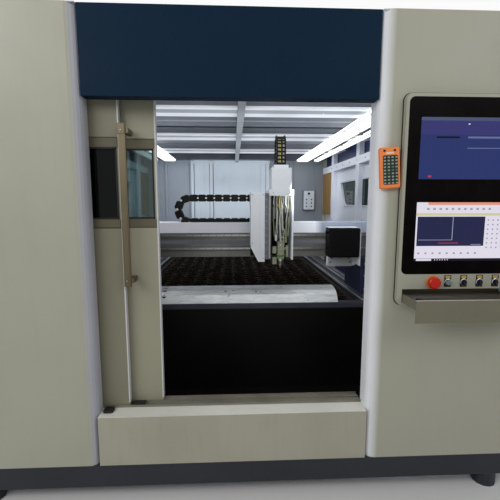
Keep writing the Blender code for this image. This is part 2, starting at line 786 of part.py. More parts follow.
# %% Bed and table
def make_bed():
    """Welded bed: two side beams, cross members and the bar at the front."""
    low = BASE_TOP + SEAT
    bed = box("machine_bed", (-BED_SIDE_OUTER, BED_FRONT, low), (-BED_SIDE_INNER, BED_REAR, BED_TOP),
              dark_steel())
    weld_box(bed, (BED_SIDE_INNER, BED_FRONT, low), (BED_SIDE_OUTER, BED_REAR, BED_TOP))
    inner = BED_SIDE_INNER + OVERRUN
    for start in (BED_FRONT, (BED_FRONT + BED_REAR - BED_CROSS) / 2, BED_REAR - BED_CROSS):
        weld_box(bed, (-inner, start, low), (inner, start + BED_CROSS, low + BED_CROSS_HEIGHT))
    weld_box(bed, (-BED_SIDE_OUTER, BED_FRONT, BED_TOP - FRONT_BAR_DEPTH),
             (BED_SIDE_OUTER, BED_FRONT + FRONT_BAR_DEPTH, BED_TOP + FRONT_BAR_HEIGHT))
    panel_rear = BED_FRONT - SEAT
    box("bed_front_panel", (-BED_SIDE_OUTER, panel_rear - FRONT_PANEL_THICK, low),
        (BED_SIDE_OUTER, panel_rear, BED_TOP - SEAT), black_paint(), THIN_SHEET)


def make_guides():
    """Guide rail and rack of each side, on one ground strip."""
    start = BED_FRONT + FRONT_BAR_DEPTH + TABLE_FRONT_GAP
    low = BED_TOP + SEAT
    for side, name in ((-1, "guide_left"), (1, "guide_right")):
        strip = sorted((side * (GUIDE_X - GUIDE_WIDTH), side * (RACK_X + RACK_WIDTH / 2)))
        guide = box(name, (strip[0], start, low), (strip[1], BED_REAR, low + GUIDE_BASE), bright_metal())
        rail = sorted((side * (GUIDE_X - GUIDE_WIDTH / 2), side * (GUIDE_X + GUIDE_WIDTH / 2)))
        weld_box(guide, (rail[0], start, low + GUIDE_BASE / 2), (rail[1], BED_REAR, low + GUIDE_HEIGHT))
        rack = sorted((side * (RACK_X - RACK_WIDTH / 2), side * (RACK_X + RACK_WIDTH / 2)))
        weld_box(guide, (rack[0], start, low + GUIDE_BASE / 2), (rack[1], BED_REAR, low + RACK_HEIGHT))


def slat_outline(left, right):
    """One slat in (x, z), with pointed teeth along its top."""
    count = int((right - left) / TOOTH_PITCH)
    pitch = (right - left) / count
    outline = [(left, SLAT_LOW), (right, SLAT_LOW), (right, SLAT_TOP - SLAT_TOOTH)]
    for i in range(count):
        spot = right - i * pitch
        outline += [(spot - pitch / 2, SLAT_TOP), (spot - pitch, SLAT_TOP - SLAT_TOOTH)]
    return outline


def make_slat_table():
    """Table frame with a row of toothed support slats across it."""
    front = BED_FRONT + FRONT_BAR_DEPTH + TABLE_FRONT_GAP
    rear = BED_REAR - TABLE_FRONT_GAP
    table = box("slat_table", (-TABLE_SIDE, front, TABLE_LOW), (TABLE_SIDE, front + TABLE_TUBE, TABLE_TOP),
                dark_steel())
    weld_box(table, (-TABLE_SIDE, rear - TABLE_TUBE, TABLE_LOW), (TABLE_SIDE, rear, TABLE_TOP))
    for side in (-1, 1):
        near, far = sorted((side * TABLE_SIDE, side * (TABLE_SIDE - TABLE_TUBE)))
        weld_box(table, (near, front + TABLE_TUBE / 2, TABLE_LOW), (far, rear - TABLE_TUBE / 2, TABLE_TOP))
        lug = sorted((side * (TABLE_SIDE - TABLE_TUBE / 2), side * (BED_SIDE_INNER - SEAT)))
        for y in (front, rear - TABLE_TUBE):
            weld_box(table, (lug[0], y, TABLE_LOW), (lug[1], y + TABLE_TUBE, TABLE_LOW + TABLE_TUBE / 2))
    inner = TABLE_SIDE - TABLE_TUBE + SLAT_BITE
    count = int((rear - front - 2 * TABLE_TUBE) / SLAT_PITCH)
    pitch = (rear - front - 2 * TABLE_TUBE) / (count + 1)
    outline = slat_outline(-inner, inner)
    for i in range(count):
        y = front + TABLE_TUBE + (i + 1) * pitch
        weld(table, prism("slat", outline, "Y", y - SLAT_THICK / 2, y + SLAT_THICK / 2))


def make_apron():
    """Arched loose sheet that lies over the front of the table."""
    front, rear = BED_FRONT, APRON_REAR
    low = BED_TOP + FRONT_BAR_HEIGHT + SEAT
    path = []
    for i in range(APRON_STEPS + 1):
        share = i / APRON_STEPS
        rise = math.sin(math.pi * share ** APRON_CREST_SHARE)
        path.append((front + (rear - front) * share, low + APRON_RISE * rise))
    prism("front_apron", folded(path, APRON_SHEET), "X", -APRON_SIDE, APRON_SIDE, bright_metal())


# %% Gantry
def make_beam():
    """Beam with its ledge and the two guide ribs that the carriage runs on."""
    face, rear = BEAM_FRONT, BEAM_FRONT + BEAM_DEPTH
    rib = face - BEAM_GUIDE
    outline = [(face - BEAM_LEDGE_DEPTH, BEAM_LOW), (rear, BEAM_LOW), (rear, BEAM_TOP), (face, BEAM_TOP)]
    for low in (BEAM_GUIDE_HIGH, BEAM_GUIDE_LOW):
        high = low + BEAM_GUIDE_HEIGHT
        outline += [(face, high), (rib, high), (rib, low), (face, low)]
    outline += [(face, BEAM_LOW + BEAM_LEDGE), (face - BEAM_LEDGE_DEPTH, BEAM_LOW + BEAM_LEDGE)]
    prism("gantry_beam", outline, "X", -BEAM_SIDE, BEAM_SIDE, grey_metal())


def make_tray():
    """White folded cover along the top of the beam, which the energy chain lies on."""
    low = BEAM_TOP + SEAT
    front, rear = BEAM_FRONT, BEAM_FRONT + BEAM_DEPTH
    path = [(front, low), (front, TRAY_TOP), (rear, TRAY_TOP), (rear, low)]
    prism("chain_tray", folded(path[::-1], THIN_SHEET), "X", -BEAM_SIDE, BEAM_SIDE, cover_white())


def guide_top():
    return BED_TOP + SEAT + GUIDE_HEIGHT + SEAT


def pinion_centre(side):
    return side * (RACK_X + RACK_WIDTH / 2 + PINION_RADIUS + PINION_PLAY), (LEG_FRONT + LEG_REAR) / 2


def make_leg(side, name):
    """End block of the gantry, which runs on the guide rail and carries a pinion."""
    top = BEAM_LOW - SEAT
    near, far = sorted((side * LEG_INNER, side * BEAM_SIDE))
    leg = box(name, (near, LEG_FRONT, guide_top()), (far, LEG_REAR, top), grey_metal(), LEAF_BEVEL)
    x, y = pinion_centre(side)
    depth = PINION_SHAFT_TOP + SLOT_PLAY
    bore = turned(name + "_bore", [(PINION_BORE, guide_top() - OVERRUN), (PINION_BORE, depth)],
                  "Z", (x, y, 0.0))
    cut(leg, bore)


def make_pinion(side, name):
    """Toothed drive pinion with its shaft up into the leg."""
    x, y = pinion_centre(side)
    low = BED_TOP + SEAT + SEAT
    outline = []
    for i in range(PINION_TEETH):
        for share, radius in ((0.0, PINION_RADIUS), (0.30, PINION_RADIUS),
                              (0.5, PINION_RADIUS - PINION_TOOTH), (0.8, PINION_RADIUS - PINION_TOOTH)):
            angle = 2 * math.pi * (i + share) / PINION_TEETH
            outline.append((radius * math.cos(angle), radius * math.sin(angle)))
    pinion = prism(name, outline, "Z", 0.0, PINION_HEIGHT, bright_metal())
    pinion.location = (x, y, low)
    profile = [(PINION_SHAFT, PINION_HEIGHT / 2), (PINION_SHAFT, PINION_SHAFT_TOP - low)]
    shaft = turned(name + "_shaft", profile, "Z",
                   (x, y, low))
    weld(pinion, shaft)


def make_drive_box(side, box_name, cover_name):
    """Black drive box in front of the beam's end, its bracket and its white side cover."""
    rear = BEAM_FRONT - BEAM_GUIDE - SEAT
    near, far = sorted((side * BOX_INNER, side * BOX_OUTER))
    box(box_name, (near, BOX_FRONT, BOX_LOW), (far, rear, BOX_TOP), black_paint(), BOX_BEVEL)
    outer = side * (BOX_OUTER + SEAT)
    top = BOX_TOP + SEAT
    edge = [(side * BOX_INNER, top), (outer - side * BOX_BEVEL, top), (outer, top - BOX_BEVEL),
            (outer, COVER_LOW)]
    if side > 0:
        edge = edge[::-1]
    sheet = folded([(x, z) for x, z in edge][::-1], THIN_SHEET)
    cover = prism(cover_name, sheet, "Y", BOX_FRONT, rear, cover_white())
    near, far = sorted((side * (BOX_INNER + BOX_BEVEL), outer))
    weld_box(cover, (near, rear - BRACKET_THICK, BRACKET_LOW), (far, rear, BOX_LOW - SEAT))


# %% Carriage and head
def make_carriage_plate():
    """Plate on the beam's guide ribs, with an arm back over the beam for the chain's end."""
    rear = BEAM_FRONT - BEAM_GUIDE - SEAT
    front = rear - PLATE_THICK
    left = CARRIAGE_LEFT + COVER_REAR_GAP
    plate = box("carriage_plate", (left, front, PLATE_LOW), (CARRIAGE_RIGHT, rear, PLATE_HIGH), dark_steel())
    arm_top = CHAIN_HIGH - SEAT
    weld_box(plate, (left, rear - PLATE_THICK / 2, arm_top - ARM_THICK),
             (CHAIN_ARM_X, CHAIN_Y + CHAIN_WIDTH / 2, arm_top))


def plate_front():
    return BEAM_FRONT - BEAM_GUIDE - SEAT - PLATE_THICK


def make_carriage_cover():
    """White cover over the left half of the carriage, with its lower corner cut off."""
    left, right = CARRIAGE_LEFT, COVER_RIGHT
    low, top = COVER_BOTTOM, PLATE_HIGH
    rear = plate_front() - SEAT
    outline = [(left + COVER_CHAMFER_X, low), (right, low), (right, top), (left, top),
               (left, low + COVER_CHAMFER_Z)]
    cover = prism("carriage_cover", outline, "Y", COVER_FRONT, rear, cover_white())
    wall = SHEET
    inner = [(left + COVER_CHAMFER_X + wall, low + wall), (right - wall, low + wall),
             (right - wall, top - wall),
             (left + wall, top - wall), (left + wall, low + COVER_CHAMFER_Z + wall)]
    cut(cover, prism("carriage_cover_hollow", inner, "Y", COVER_FRONT + wall, rear + OVERRUN))


def make_z_cover():
    """White cover of the head's lift: motor box, band and side plate in one piece."""
    rear = plate_front() - SEAT
    low = Z_BOX_LOW
    cover = box("z_cover", (Z_BOX_LEFT, COVER_FRONT, low), (Z_BOX_RIGHT, rear, Z_BOX_TOP), cover_white())
    weld_box(cover, (Z_BOX_LEFT - Z_BAND_SPREAD, COVER_FRONT - Z_BAND_SPREAD / 2, low - Z_BAND_HEIGHT),
             (CARRIAGE_RIGHT, rear, low + SHEET))
    weld_box(cover, (Z_BOX_LEFT + Z_CAP_INSET, COVER_FRONT + Z_CAP_INSET, Z_BOX_TOP - SHEET),
             (Z_BOX_RIGHT - Z_CAP_INSET, rear, Z_BOX_TOP + Z_CAP_HEIGHT))
    weld_box(cover, (CARRIAGE_RIGHT - SIDE_PLATE, COVER_FRONT, SIDE_PLATE_LOW), (CARRIAGE_RIGHT, rear, low))
    cut_box(cover, (Z_BOX_LEFT + SHEET, COVER_FRONT + SHEET, low - Z_BAND_HEIGHT - OVERRUN),
            (Z_BOX_RIGHT - SHEET, rear - SHEET, Z_BOX_TOP - SHEET))


def make_z_slide():
    """Moving plate of the head, on two slide pads."""
    rear = plate_front() - SEAT
    pads_front = rear - SLIDE_PAD
    front = pads_front - SLIDE_THICK
    slide = box("z_slide", (SLIDE_LEFT, front, SLIDE_LOW), (SLIDE_RIGHT, pads_front, SLIDE_HIGH),
                grey_metal(), THIN_SHEET)
    for left in (SLIDE_LEFT + SLIDE_PAD, SLIDE_RIGHT - SLIDE_PAD - SLIDE_PAD_WIDTH):
        weld_box(slide, (left, pads_front - SLIDE_THICK / 2, SLIDE_LOW + SLIDE_PAD),
                 (left + SLIDE_PAD_WIDTH, rear, SLIDE_HIGH - SLIDE_PAD))
    return front


def make_head(slide_front):
    """Cutting head: square body, round collimator above it and the nozzle below."""
    head = box("cutting_head", (HEAD_X - HEAD_HALF, HEAD_Y - HEAD_HALF, HEAD_LOW),
               (HEAD_X + HEAD_HALF, HEAD_Y + HEAD_HALF, HEAD_HIGH), grey_metal(), HEAD_BEVEL)
    weld_box(head, (HEAD_X - HEAD_HALF / 2, HEAD_Y, HEAD_LOW + HEAD_HALF),
             (HEAD_X + HEAD_HALF / 2, slide_front - SEAT, HEAD_HIGH - HEAD_HALF))
    neck = [(HEAD_NECK, HEAD_HIGH - HEAD_BEVEL), (HEAD_NECK, HEAD_TOP - HEAD_BEVEL * 2),
            (HEAD_NECK - HEAD_BEVEL, HEAD_TOP - HEAD_BEVEL * 2), (HEAD_NECK - HEAD_BEVEL, HEAD_TOP)]
    weld(head, turned("cutting_head_neck", neck, "Z", (HEAD_X, HEAD_Y, 0.0)))
    profile = [(NOZZLE_TIP_RADIUS, NOZZLE_TIP), (NOZZLE_BASE_RADIUS / 2, NOZZLE_SHOULDER),
               (NOZZLE_BASE_RADIUS, NOZZLE_SHOULDER + THIN_SHEET), (NOZZLE_BASE_RADIUS, NOZZLE_COLLAR),
               (NOZZLE_BASE_RADIUS - THIN_SHEET, NOZZLE_COLLAR),
               (NOZZLE_BASE_RADIUS - THIN_SHEET, HEAD_LOW - SEAT)]
    turned("head_nozzle", profile, "Z", (HEAD_X, HEAD_Y, 0.0), bright_metal())


def make_hoses():
    """Hoses from the lift cover down to the head, bound side by side."""
    top = Z_BOX_LOW - Z_BAND_HEIGHT - SEAT
    low = HEAD_TOP + SEAT
    y = HEAD_Y
    band_front, band_rear = y - HOSE_RADIUS / 2, y + HOSE_RADIUS / 2
    middle = (top + low) / 2
    bundle = box("hose_bundle", (HOSE_PLACES[0], band_front, middle - HOSE_RADIUS),
                 (HOSE_PLACES[-1], band_rear, middle + HOSE_RADIUS), plastic("hose_grey", (0.30, 0.31, 0.28)))
    for x in HOSE_PLACES:
        hose = turned("hose", [(HOSE_RADIUS, low), (HOSE_RADIUS, top)], "Z", (x, y, 0.0), steps=HOSE_SIDES)
        weld(bundle, hose)


# %% Energy chains
def make_x_chain():
    """The chain of the carriage: a run on the tray, a turn and an upper run to the carriage."""
    black = plastic("chain_black", (0.012, 0.012, 0.012))
    front, rear = CHAIN_Y - CHAIN_WIDTH / 2, CHAIN_Y + CHAIN_WIDTH / 2
    loop_x = CHAIN_LOOP_X
    left, height = loop_x + SEAT, CHAIN_HEIGHT
    box("x_chain_lower", (left, front, CHAIN_LOW), (CHAIN_ANCHOR_X, rear, CHAIN_LOW + height), black)
    box("x_chain_upper", (left, front, CHAIN_HIGH), (CHAIN_ARM_X, rear, CHAIN_HIGH + height), black)
    middle = (CHAIN_LOW + CHAIN_HIGH + CHAIN_HEIGHT) / 2
    outer = CHAIN_HIGH + CHAIN_HEIGHT - middle
    outline = arc((loop_x, middle), outer, 90, 270, CHAIN_STEPS)
    outline += arc((loop_x, middle), outer - CHAIN_HEIGHT, 270, 90, CHAIN_STEPS)
    prism("x_chain_loop", outline, "Y", front, rear, black)


def make_z_chain():
    """The upright chain of the head's lift, a narrow arch over the lift cover."""
    outer = (plate_front() - SEAT - Z_CHAIN_FRONT + Z_CHAIN_THICK) / 2
    centre = plate_front() - SEAT - outer + Z_CHAIN_THICK / 2
    crown = Z_CHAIN_TOP - outer
    front_low = Z_BOX_TOP + Z_CAP_HEIGHT + SEAT
    outline = [(centre - outer, front_low)] + arc((centre, crown), outer, 180, 0, CHAIN_STEPS)
    outline += [(centre + outer, front_low), (centre + outer - Z_CHAIN_THICK, front_low)]
    outline += arc((centre, crown), outer - Z_CHAIN_THICK, 0, 180, CHAIN_STEPS)
    outline += [(centre - outer + Z_CHAIN_THICK, front_low)]
    prism("z_chain", outline, "X", Z_CHAIN_X - Z_CHAIN_WIDTH / 2, Z_CHAIN_X + Z_CHAIN_WIDTH / 2,
          plastic("chain_black", (0.012, 0.012, 0.012)))


# %% Console
def selector_places():
    return [START_X + SELECTOR_PITCH * (i + 1) for i in range(3)]


def control_bores():
    """Place and radius of every bore for a control's stem."""
    bores = [(ESTOP_X, ESTOP_STEM + BORE_PLAY), (START_X, START_STEM + BORE_PLAY)]
    return bores + [(x, SELECTOR_STEM + BORE_PLAY) for x in selector_places()]


def console_face():
    return FRONT - SEAT - CONSOLE_THICK


def make_console_housing():
    """Raised housing with a recess for the glass, bores for the controls and the drawer slot."""
    outline = rounded_rectangle((CONSOLE_LEFT, CONSOLE_LOW), (CONSOLE_RIGHT, CONSOLE_TOP), CONSOLE_CORNER)
    housing = prism("console_housing", outline, "Y", console_face(), FRONT - SEAT, white_paint())
    glass = glass_outline(0.0)
    face, floor = console_face(), console_face() + GLASS_THICK + SEAT
    cut(housing, prism("console_recess", glass, "Y", face - OVERRUN, floor))
    for x, radius in control_bores():
        bore = turned("console_bore", [(radius, -OVERRUN), (radius, CONSOLE_THICK + OVERRUN)], "Y",
                      (x, console_face(), CONTROL_Z))
        cut(housing, bore)
    cut_box(housing, (DRAWER_LEFT - SLOT_PLAY, console_face() - OVERRUN, DRAWER_LOW - SEAT),
            (DRAWER_RIGHT + SLOT_PLAY, FRONT + OVERRUN, SLOT_TOP))


def glass_outline(inset):
    low = (CONSOLE_LEFT + GLASS_MARGIN + inset, GLASS_LOW + inset)
    high = (CONSOLE_RIGHT - GLASS_MARGIN - inset, GLASS_TOP - inset)
    return rounded_rectangle(low, high, CONSOLE_CORNER - GLASS_MARGIN / 2 - inset)


def make_console_glass():
    """Black glass over both screens, and the screens let into it."""
    face = console_face()
    glass = prism("console_glass", glass_outline(SEAT), "Y", face, face + GLASS_THICK, glass_dark())
    screens = (("upper_screen", UPPER_SCREEN_LOW, (0.02, 0.03, 0.12)),
               ("lower_screen", LOWER_SCREEN_LOW, (0.60, 0.60, 0.66)))
    for name, low, colour in screens:
        cut_box(glass, (SCREEN_LEFT, face - OVERRUN, low),
                (SCREEN_LEFT + SCREEN_WIDTH, face + SCREEN_DEPTH + SEAT, low + SCREEN_HEIGHT))
        box(name, (SCREEN_LEFT + SEAT, face, low + SEAT),
            (SCREEN_LEFT + SCREEN_WIDTH - SEAT, face + SCREEN_DEPTH, low + SCREEN_HEIGHT - SEAT),
            paint(name, colour, 0.2))


def make_controls():
    """Emergency stop, start button and three selectors, each on its stem in the housing."""
    face = console_face()
    tail = STEM_LENGTH
    crown = -ESTOP_NECK - ESTOP_CAP
    profile = [(ESTOP_HEAD - HEAD_BEVEL, crown), (ESTOP_HEAD, crown + HEAD_BEVEL),
               (ESTOP_HEAD, -ESTOP_NECK), (ESTOP_STEM, -ESTOP_NECK), (ESTOP_STEM, tail)]
    turned("estop_button", profile, "Y", (ESTOP_X, face, CONTROL_Z), plastic("stop_red", (0.65, 0.03, 0.015)))
    profile = [(START_HEAD, -START_NECK - START_CAP), (START_HEAD, -START_NECK), (START_STEM, -START_NECK),
               (START_STEM, tail)]
    turned("start_button", profile, "Y", (START_X, face, CONTROL_Z),
           plastic("start_grey", (0.25, 0.28, 0.28)))
    for i, x in enumerate(selector_places()):
        profile = [(SELECTOR_HEAD, -SEAT - SELECTOR_CAP), (SELECTOR_HEAD, -SEAT), (SELECTOR_STEM, -SEAT),
                   (SELECTOR_STEM, tail)]
        knob = turned("selector_%d" % (i + 1), profile, "Y", (x, face, CONTROL_Z),
                      plastic("knob_black", (0.015, 0.015, 0.015)))
        half = SELECTOR_GRIP_WIDTH / 2
        weld_box(knob, (x - half, face - SELECTOR_CAP - SELECTOR_GRIP, CONTROL_Z - SELECTOR_HEAD + SEAT),
                 (x + half, face - SELECTOR_CAP + SEAT, CONTROL_Z + SELECTOR_HEAD - SEAT))


def make_drawer():
    """Folded keyboard drawer, pulled out, and the keyboard that lies in it."""
    front = FRONT - DRAWER_OUT
    rear = FRONT + DRAWER_TAIL
    sheet = DRAWER_SHEET
    drawer = box("keyboard_drawer", (DRAWER_LEFT, front, DRAWER_LOW), (DRAWER_RIGHT, rear, DRAWER_HIGH),
                 white_paint())
    cut_box(drawer, (DRAWER_LEFT + sheet, front + sheet, DRAWER_LOW + sheet),
            (DRAWER_RIGHT - sheet, rear - sheet, DRAWER_HIGH + OVERRUN))
    weld_box(drawer, (DRAWER_LEFT, front - sheet, DRAWER_FRONT_LOW),
             (DRAWER_RIGHT, front + sheet / 2, DRAWER_FRONT_HIGH))
    low = DRAWER_LOW + sheet + SEAT
    box("keyboard", (KEYBOARD_LEFT, front + KEYBOARD_FRONT, low),
        (KEYBOARD_RIGHT, front + KEYBOARD_FRONT + KEYBOARD_DEPTH, low + KEYBOARD_THICK),
        plastic("keyboard_brown", (0.05, 0.045, 0.035)), LEAF_BEVEL)


def make_remote():
    """Hand remote that hangs by its magnet on the column."""
    half = (REMOTE_WIDTH / 2, REMOTE_THICK / 2, REMOTE_HEIGHT / 2)
    remote = box("hand_remote", tuple(-h for h in half), half, plastic("remote_orange", (0.85, 0.22, 0.04)),
                 REMOTE_BEVEL)
    remote.location = (REMOTE_X, FRONT - SEAT - REMOTE_THICK / 2, REMOTE_Z)
    remote.rotation_euler = (0.0, math.radians(REMOTE_TILT), 0.0)


def build():
    make_base_frame()
    make_column_left()
    make_column_right()
    make_header()
    make_sill()
    make_door_guides()
    make_door()
    make_side_wall(-1, "side_wall_left")
    make_side_wall(1, "side_wall_right")
    make_back_wall()
    make_roof()
    make_bed()
    make_guides()
    make_slat_table()
    make_apron()
    make_beam()
    make_tray()
    make_leg(-1, "gantry_leg_left")
    make_leg(1, "gantry_leg_right")
    make_pinion(-1, "y_pinion_left")
    make_pinion(1, "y_pinion_right")
    make_drive_box(-1, "drive_box_left", "drive_cover_left")
    make_drive_box(1, "drive_box_right", "drive_cover_right")
    make_carriage_plate()
    make_carriage_cover()
    make_z_cover()
    make_head(make_z_slide())
    make_hoses()
    make_x_chain()
    make_z_chain()
    make_console_housing()
    make_console_glass()
    make_controls()
    make_drawer()
    make_remote()


for old in list(bpy.data.objects):
    bpy.data.objects.remove(old)
build()
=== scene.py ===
# %% [markdown]
# # An enclosed laser cutting machine
# The machine is a closed cabin of powder-coated sheet with a sliding door and a console. Inside it,
# a gantry carries a cutting head over a slat table. The exact solids come from the CAD model, and
# this lesson gives them their finishes and adds the small parts that make the machine look real.

# %% Load the frame
import math
import random

import bmesh
import bpy
from mathutils import Matrix, Vector
from mathutils.bvhtree import BVHTree


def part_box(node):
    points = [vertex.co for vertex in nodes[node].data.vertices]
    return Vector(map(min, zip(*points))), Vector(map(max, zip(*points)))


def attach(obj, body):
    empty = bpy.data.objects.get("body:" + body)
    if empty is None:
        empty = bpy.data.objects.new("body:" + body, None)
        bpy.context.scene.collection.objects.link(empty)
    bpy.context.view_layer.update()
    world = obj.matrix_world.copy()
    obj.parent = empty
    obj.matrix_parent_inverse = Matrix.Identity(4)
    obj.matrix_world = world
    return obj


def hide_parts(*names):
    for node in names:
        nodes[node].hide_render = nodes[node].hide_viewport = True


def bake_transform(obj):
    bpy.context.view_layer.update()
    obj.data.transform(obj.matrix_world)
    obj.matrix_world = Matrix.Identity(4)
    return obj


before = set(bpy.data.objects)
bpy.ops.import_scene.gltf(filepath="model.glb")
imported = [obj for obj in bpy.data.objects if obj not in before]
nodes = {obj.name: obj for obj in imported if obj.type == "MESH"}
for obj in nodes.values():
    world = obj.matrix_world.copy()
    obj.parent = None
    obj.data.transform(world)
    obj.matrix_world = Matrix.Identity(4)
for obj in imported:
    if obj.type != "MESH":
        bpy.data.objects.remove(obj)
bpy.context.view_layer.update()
random.seed(7)

# %% [markdown]
# ## The camera
# The photograph was taken by hand, 1.8 m in front of the doorway, at eye height, with a wide lens.
# The camera could be aimed at an empty, but two plain angles say the same thing and are easy to
# check: it looks 7 degrees down and a little to the right.

# %% Camera
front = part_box("column_left")[0].y
lens_data = bpy.data.cameras.new("camera")
lens_data.lens = 26.6
lens_data.sensor_width = 36.0
camera = bpy.data.objects.new("camera", lens_data)
camera.location = (-0.06, front - 1.8, 1.56)
camera.rotation_euler = (math.radians(90 - 7.3), 0.0, math.radians(-2.6))
bpy.context.scene.collection.objects.link(camera)
bpy.context.scene.camera = camera
print("camera stands at", [round(v, 2) for v in camera.location])

# %% [markdown]
# ## Light and floor
# A workshop hall gives soft light from above, and the lamps of the cabin light its inside. Three
# large area lamps stand for the hall, and six in the cabin stand for its strips and their bounce. The
# world is pale grey for light, and plain white where the camera, a mirror or a pane looks at it.


# %% Lamps
def lamp(name, place, aim, size, watts, colour=(1.0, 1.0, 1.0)):
    """A large soft lamp that looks at a point."""
    data = bpy.data.lights.new(name, "AREA")
    data.shape = "RECTANGLE"
    data.size, data.size_y = size
    data.energy = watts
    data.color = colour
    made = bpy.data.objects.new(name, data)
    made.location = place
    made.rotation_euler = (Vector(aim) - Vector(place)).to_track_quat("-Z", "Y").to_euler()
    bpy.context.scene.collection.objects.link(made)
    return made


lamp("hall_left", (-3.2, front - 3.2, 3.6), (0.0, front, 1.3), (3.0, 2.0), 92)
lamp("hall_right", (2.6, front - 3.0, 3.8), (0.4, front, 1.2), (3.0, 2.0), 40)
lamp("hall_back", (0.0, 5.5, 4.5), (0.0, 1.0, 1.5), (4.0, 3.0), 120)
lamp("cabin_front", (0.1, front + 0.34, 2.12), (0.1, 0.6, 1.35), (1.5, 0.20), 4.5, (0.94, 0.97, 1.0))
lamp("cabin_ceiling", (0.0, 0.35, 1.98), (0.0, 0.36, 2.3), (2.2, 3.2), 14.5, (0.94, 0.97, 1.0))
lamp("cabin_rear", (0.0, 1.15, 1.72), (0.0, 2.1, 1.60), (2.2, 0.5), 8, (0.94, 0.97, 1.0))
lamp("cabin_right", (0.50, -1.35, 1.75), (1.45, -0.75, 1.55), (0.9, 0.5), 3.5, (0.94, 0.97, 1.0))
for side in (-1, 1):
    strip = lamp("cabin_strip", (side * 1.0, 0.1, 2.175), (side * 1.0, 0.101, 0.0), (0.16, 3.5), 6,
                 (0.96, 0.98, 1.0))
    strip.visible_camera = False
print("lamps hung")


# %% World
def fill(tree, made, inputs):
    """Link the inputs of a node to sockets, or give them plain values."""
    for label, value in inputs.items():
        if isinstance(value, bpy.types.NodeSocket):
            tree.links.new(value, made.inputs[label])
        else:
            made.inputs[label].default_value = value


def add_node(tree, kind, inputs=None, **settings):
    """A shader node with its settings and its inputs."""
    made = tree.nodes.new("ShaderNode" + kind)
    for label, value in settings.items():
        setattr(made, label, value)
    fill(tree, made, inputs or {})
    return made


world = bpy.data.worlds.new("studio")
world.use_nodes = True
bpy.context.scene.world = world
tree = world.node_tree
tree.nodes.clear()
rays = add_node(tree, "LightPath").outputs
seen = add_node(tree, "Math", {0: rays["Is Camera Ray"], 1: rays["Is Glossy Ray"]}, operation="MAXIMUM")
clear = add_node(tree, "Math", {0: seen.outputs[0], 1: rays["Is Transmission Ray"]}, operation="MAXIMUM")
sky = add_node(tree, "Background", {"Color": (0.80, 0.82, 0.84, 1.0), "Strength": 0.42})
white = add_node(tree, "Background", {"Color": (0.97, 0.97, 0.97, 1.0), "Strength": 1.0})
mixer = add_node(tree, "MixShader", {0: clear.outputs[0], 1: sky.outputs[0], 2: white.outputs[0]})
add_node(tree, "OutputWorld", {"Surface": mixer.outputs[0]})
bpy.context.scene.view_settings.view_transform = "Standard"
print("pale world made")

# %% [markdown]
# ## Shared effects
# Powder coat, grime, brushing and edge wear turn up on many parts, so each is a node group that is
# built once. A group puts out a colour, a value or a normal, and every material gives it its own
# amounts. The patterns read object coordinates, which are the machine's own metres here.


# %% Group helpers
def srgb(r, g, b):
    """A colour written as 0 to 255, made linear for the shader."""
    shares = [c / 255 for c in (r, g, b)]
    return tuple(((s + 0.055) / 1.055) ** 2.4 if s > 10 / 255 else s / 12.92 for s in shares) + (1.0,)


def start_group(name, inputs, outputs):
    """An empty node group with named sockets, what comes into it, and its last node."""
    group = bpy.data.node_groups.new(name, "ShaderNodeTree")
    for label, kind, value in inputs:
        made = group.interface.new_socket(name=label, in_out="INPUT", socket_type=kind)
        made.default_value = value
    for label, kind in outputs:
        group.interface.new_socket(name=label, in_out="OUTPUT", socket_type=kind)
    return group, group.nodes.new("NodeGroupInput").outputs, group.nodes.new("NodeGroupOutput")


def object_place(tree):
    """The machine's own place in metres, which is what the patterns follow."""
    return add_node(tree, "TexCoord").outputs["Object"]


def stretched_place(tree, shares):
    """The same place, stretched by its own share along each axis."""
    return add_node(tree, "Mapping", {"Scale": shares, "Vector": object_place(tree)}).outputs["Vector"]


def noise(tree, place, scale, detail=3.0, distortion=0.0):
    """Soft noise over the surface, coarse or fine by its scale."""
    inputs = {"Vector": place, "Scale": scale, "Detail": detail, "Distortion": distortion}
    return add_node(tree, "TexNoise", inputs).outputs["Fac"]


def ramp(tree, value, low, high, start=0.0, end=1.0):
    """A value stretched so that low becomes start and high becomes end."""
    inputs = {"Value": value, "From Min": low, "From Max": high, "To Min": start, "To Max": end}
    return add_node(tree, "MapRange", inputs).outputs["Result"]


def arithmetic(tree, operation, first, second=0.5):
    """A sum, product or comparison of two sockets or numbers."""
    return add_node(tree, "Math", {0: first, 1: second}, operation=operation).outputs[0]


def blend_colour(tree, mask, first, second):
    """The first colour where the mask is zero and the second where it is one."""
    return add_node(tree, "Mix", {"Factor": mask, 6: first, 7: second}, data_type="RGBA").outputs[2]


def bump(tree, height, distance, strength):
    """A normal that follows a pattern as if it were relief."""
    inputs = {"Height": height, "Distance": distance, "Strength": strength}
    return add_node(tree, "Bump", inputs).outputs["Normal"]


def darker(colour, share):
    """The same colour with less light."""
    return tuple(c * share for c in colour[:3]) + (1.0,)


def place_of(tree):
    """The machine's own X, Y and Z in metres, for a mask."""
    return add_node(tree, "SeparateXYZ", {0: object_place(tree)}).outputs


print("helpers ready")


# %% Powder coat group
def make_grain():
    """Fine orange-peel texture of powder coat, as a normal and a small change of gloss."""
    group, ends, out = start_group(
        "orange_peel",
        [("Scale", "NodeSocketFloat", 420.0), ("Strength", "NodeSocketFloat", 0.10)],
        [("Normal", "NodeSocketVector"), ("Value", "NodeSocketFloat")])
    place = object_place(group)
    fine = noise(group, place, ends["Scale"], 2.0)
    broad = noise(group, place, 2.2, 4.0)
    fill(group, out, {"Normal": bump(group, fine, 0.0006, ends["Strength"]), "Value": broad})
    return group


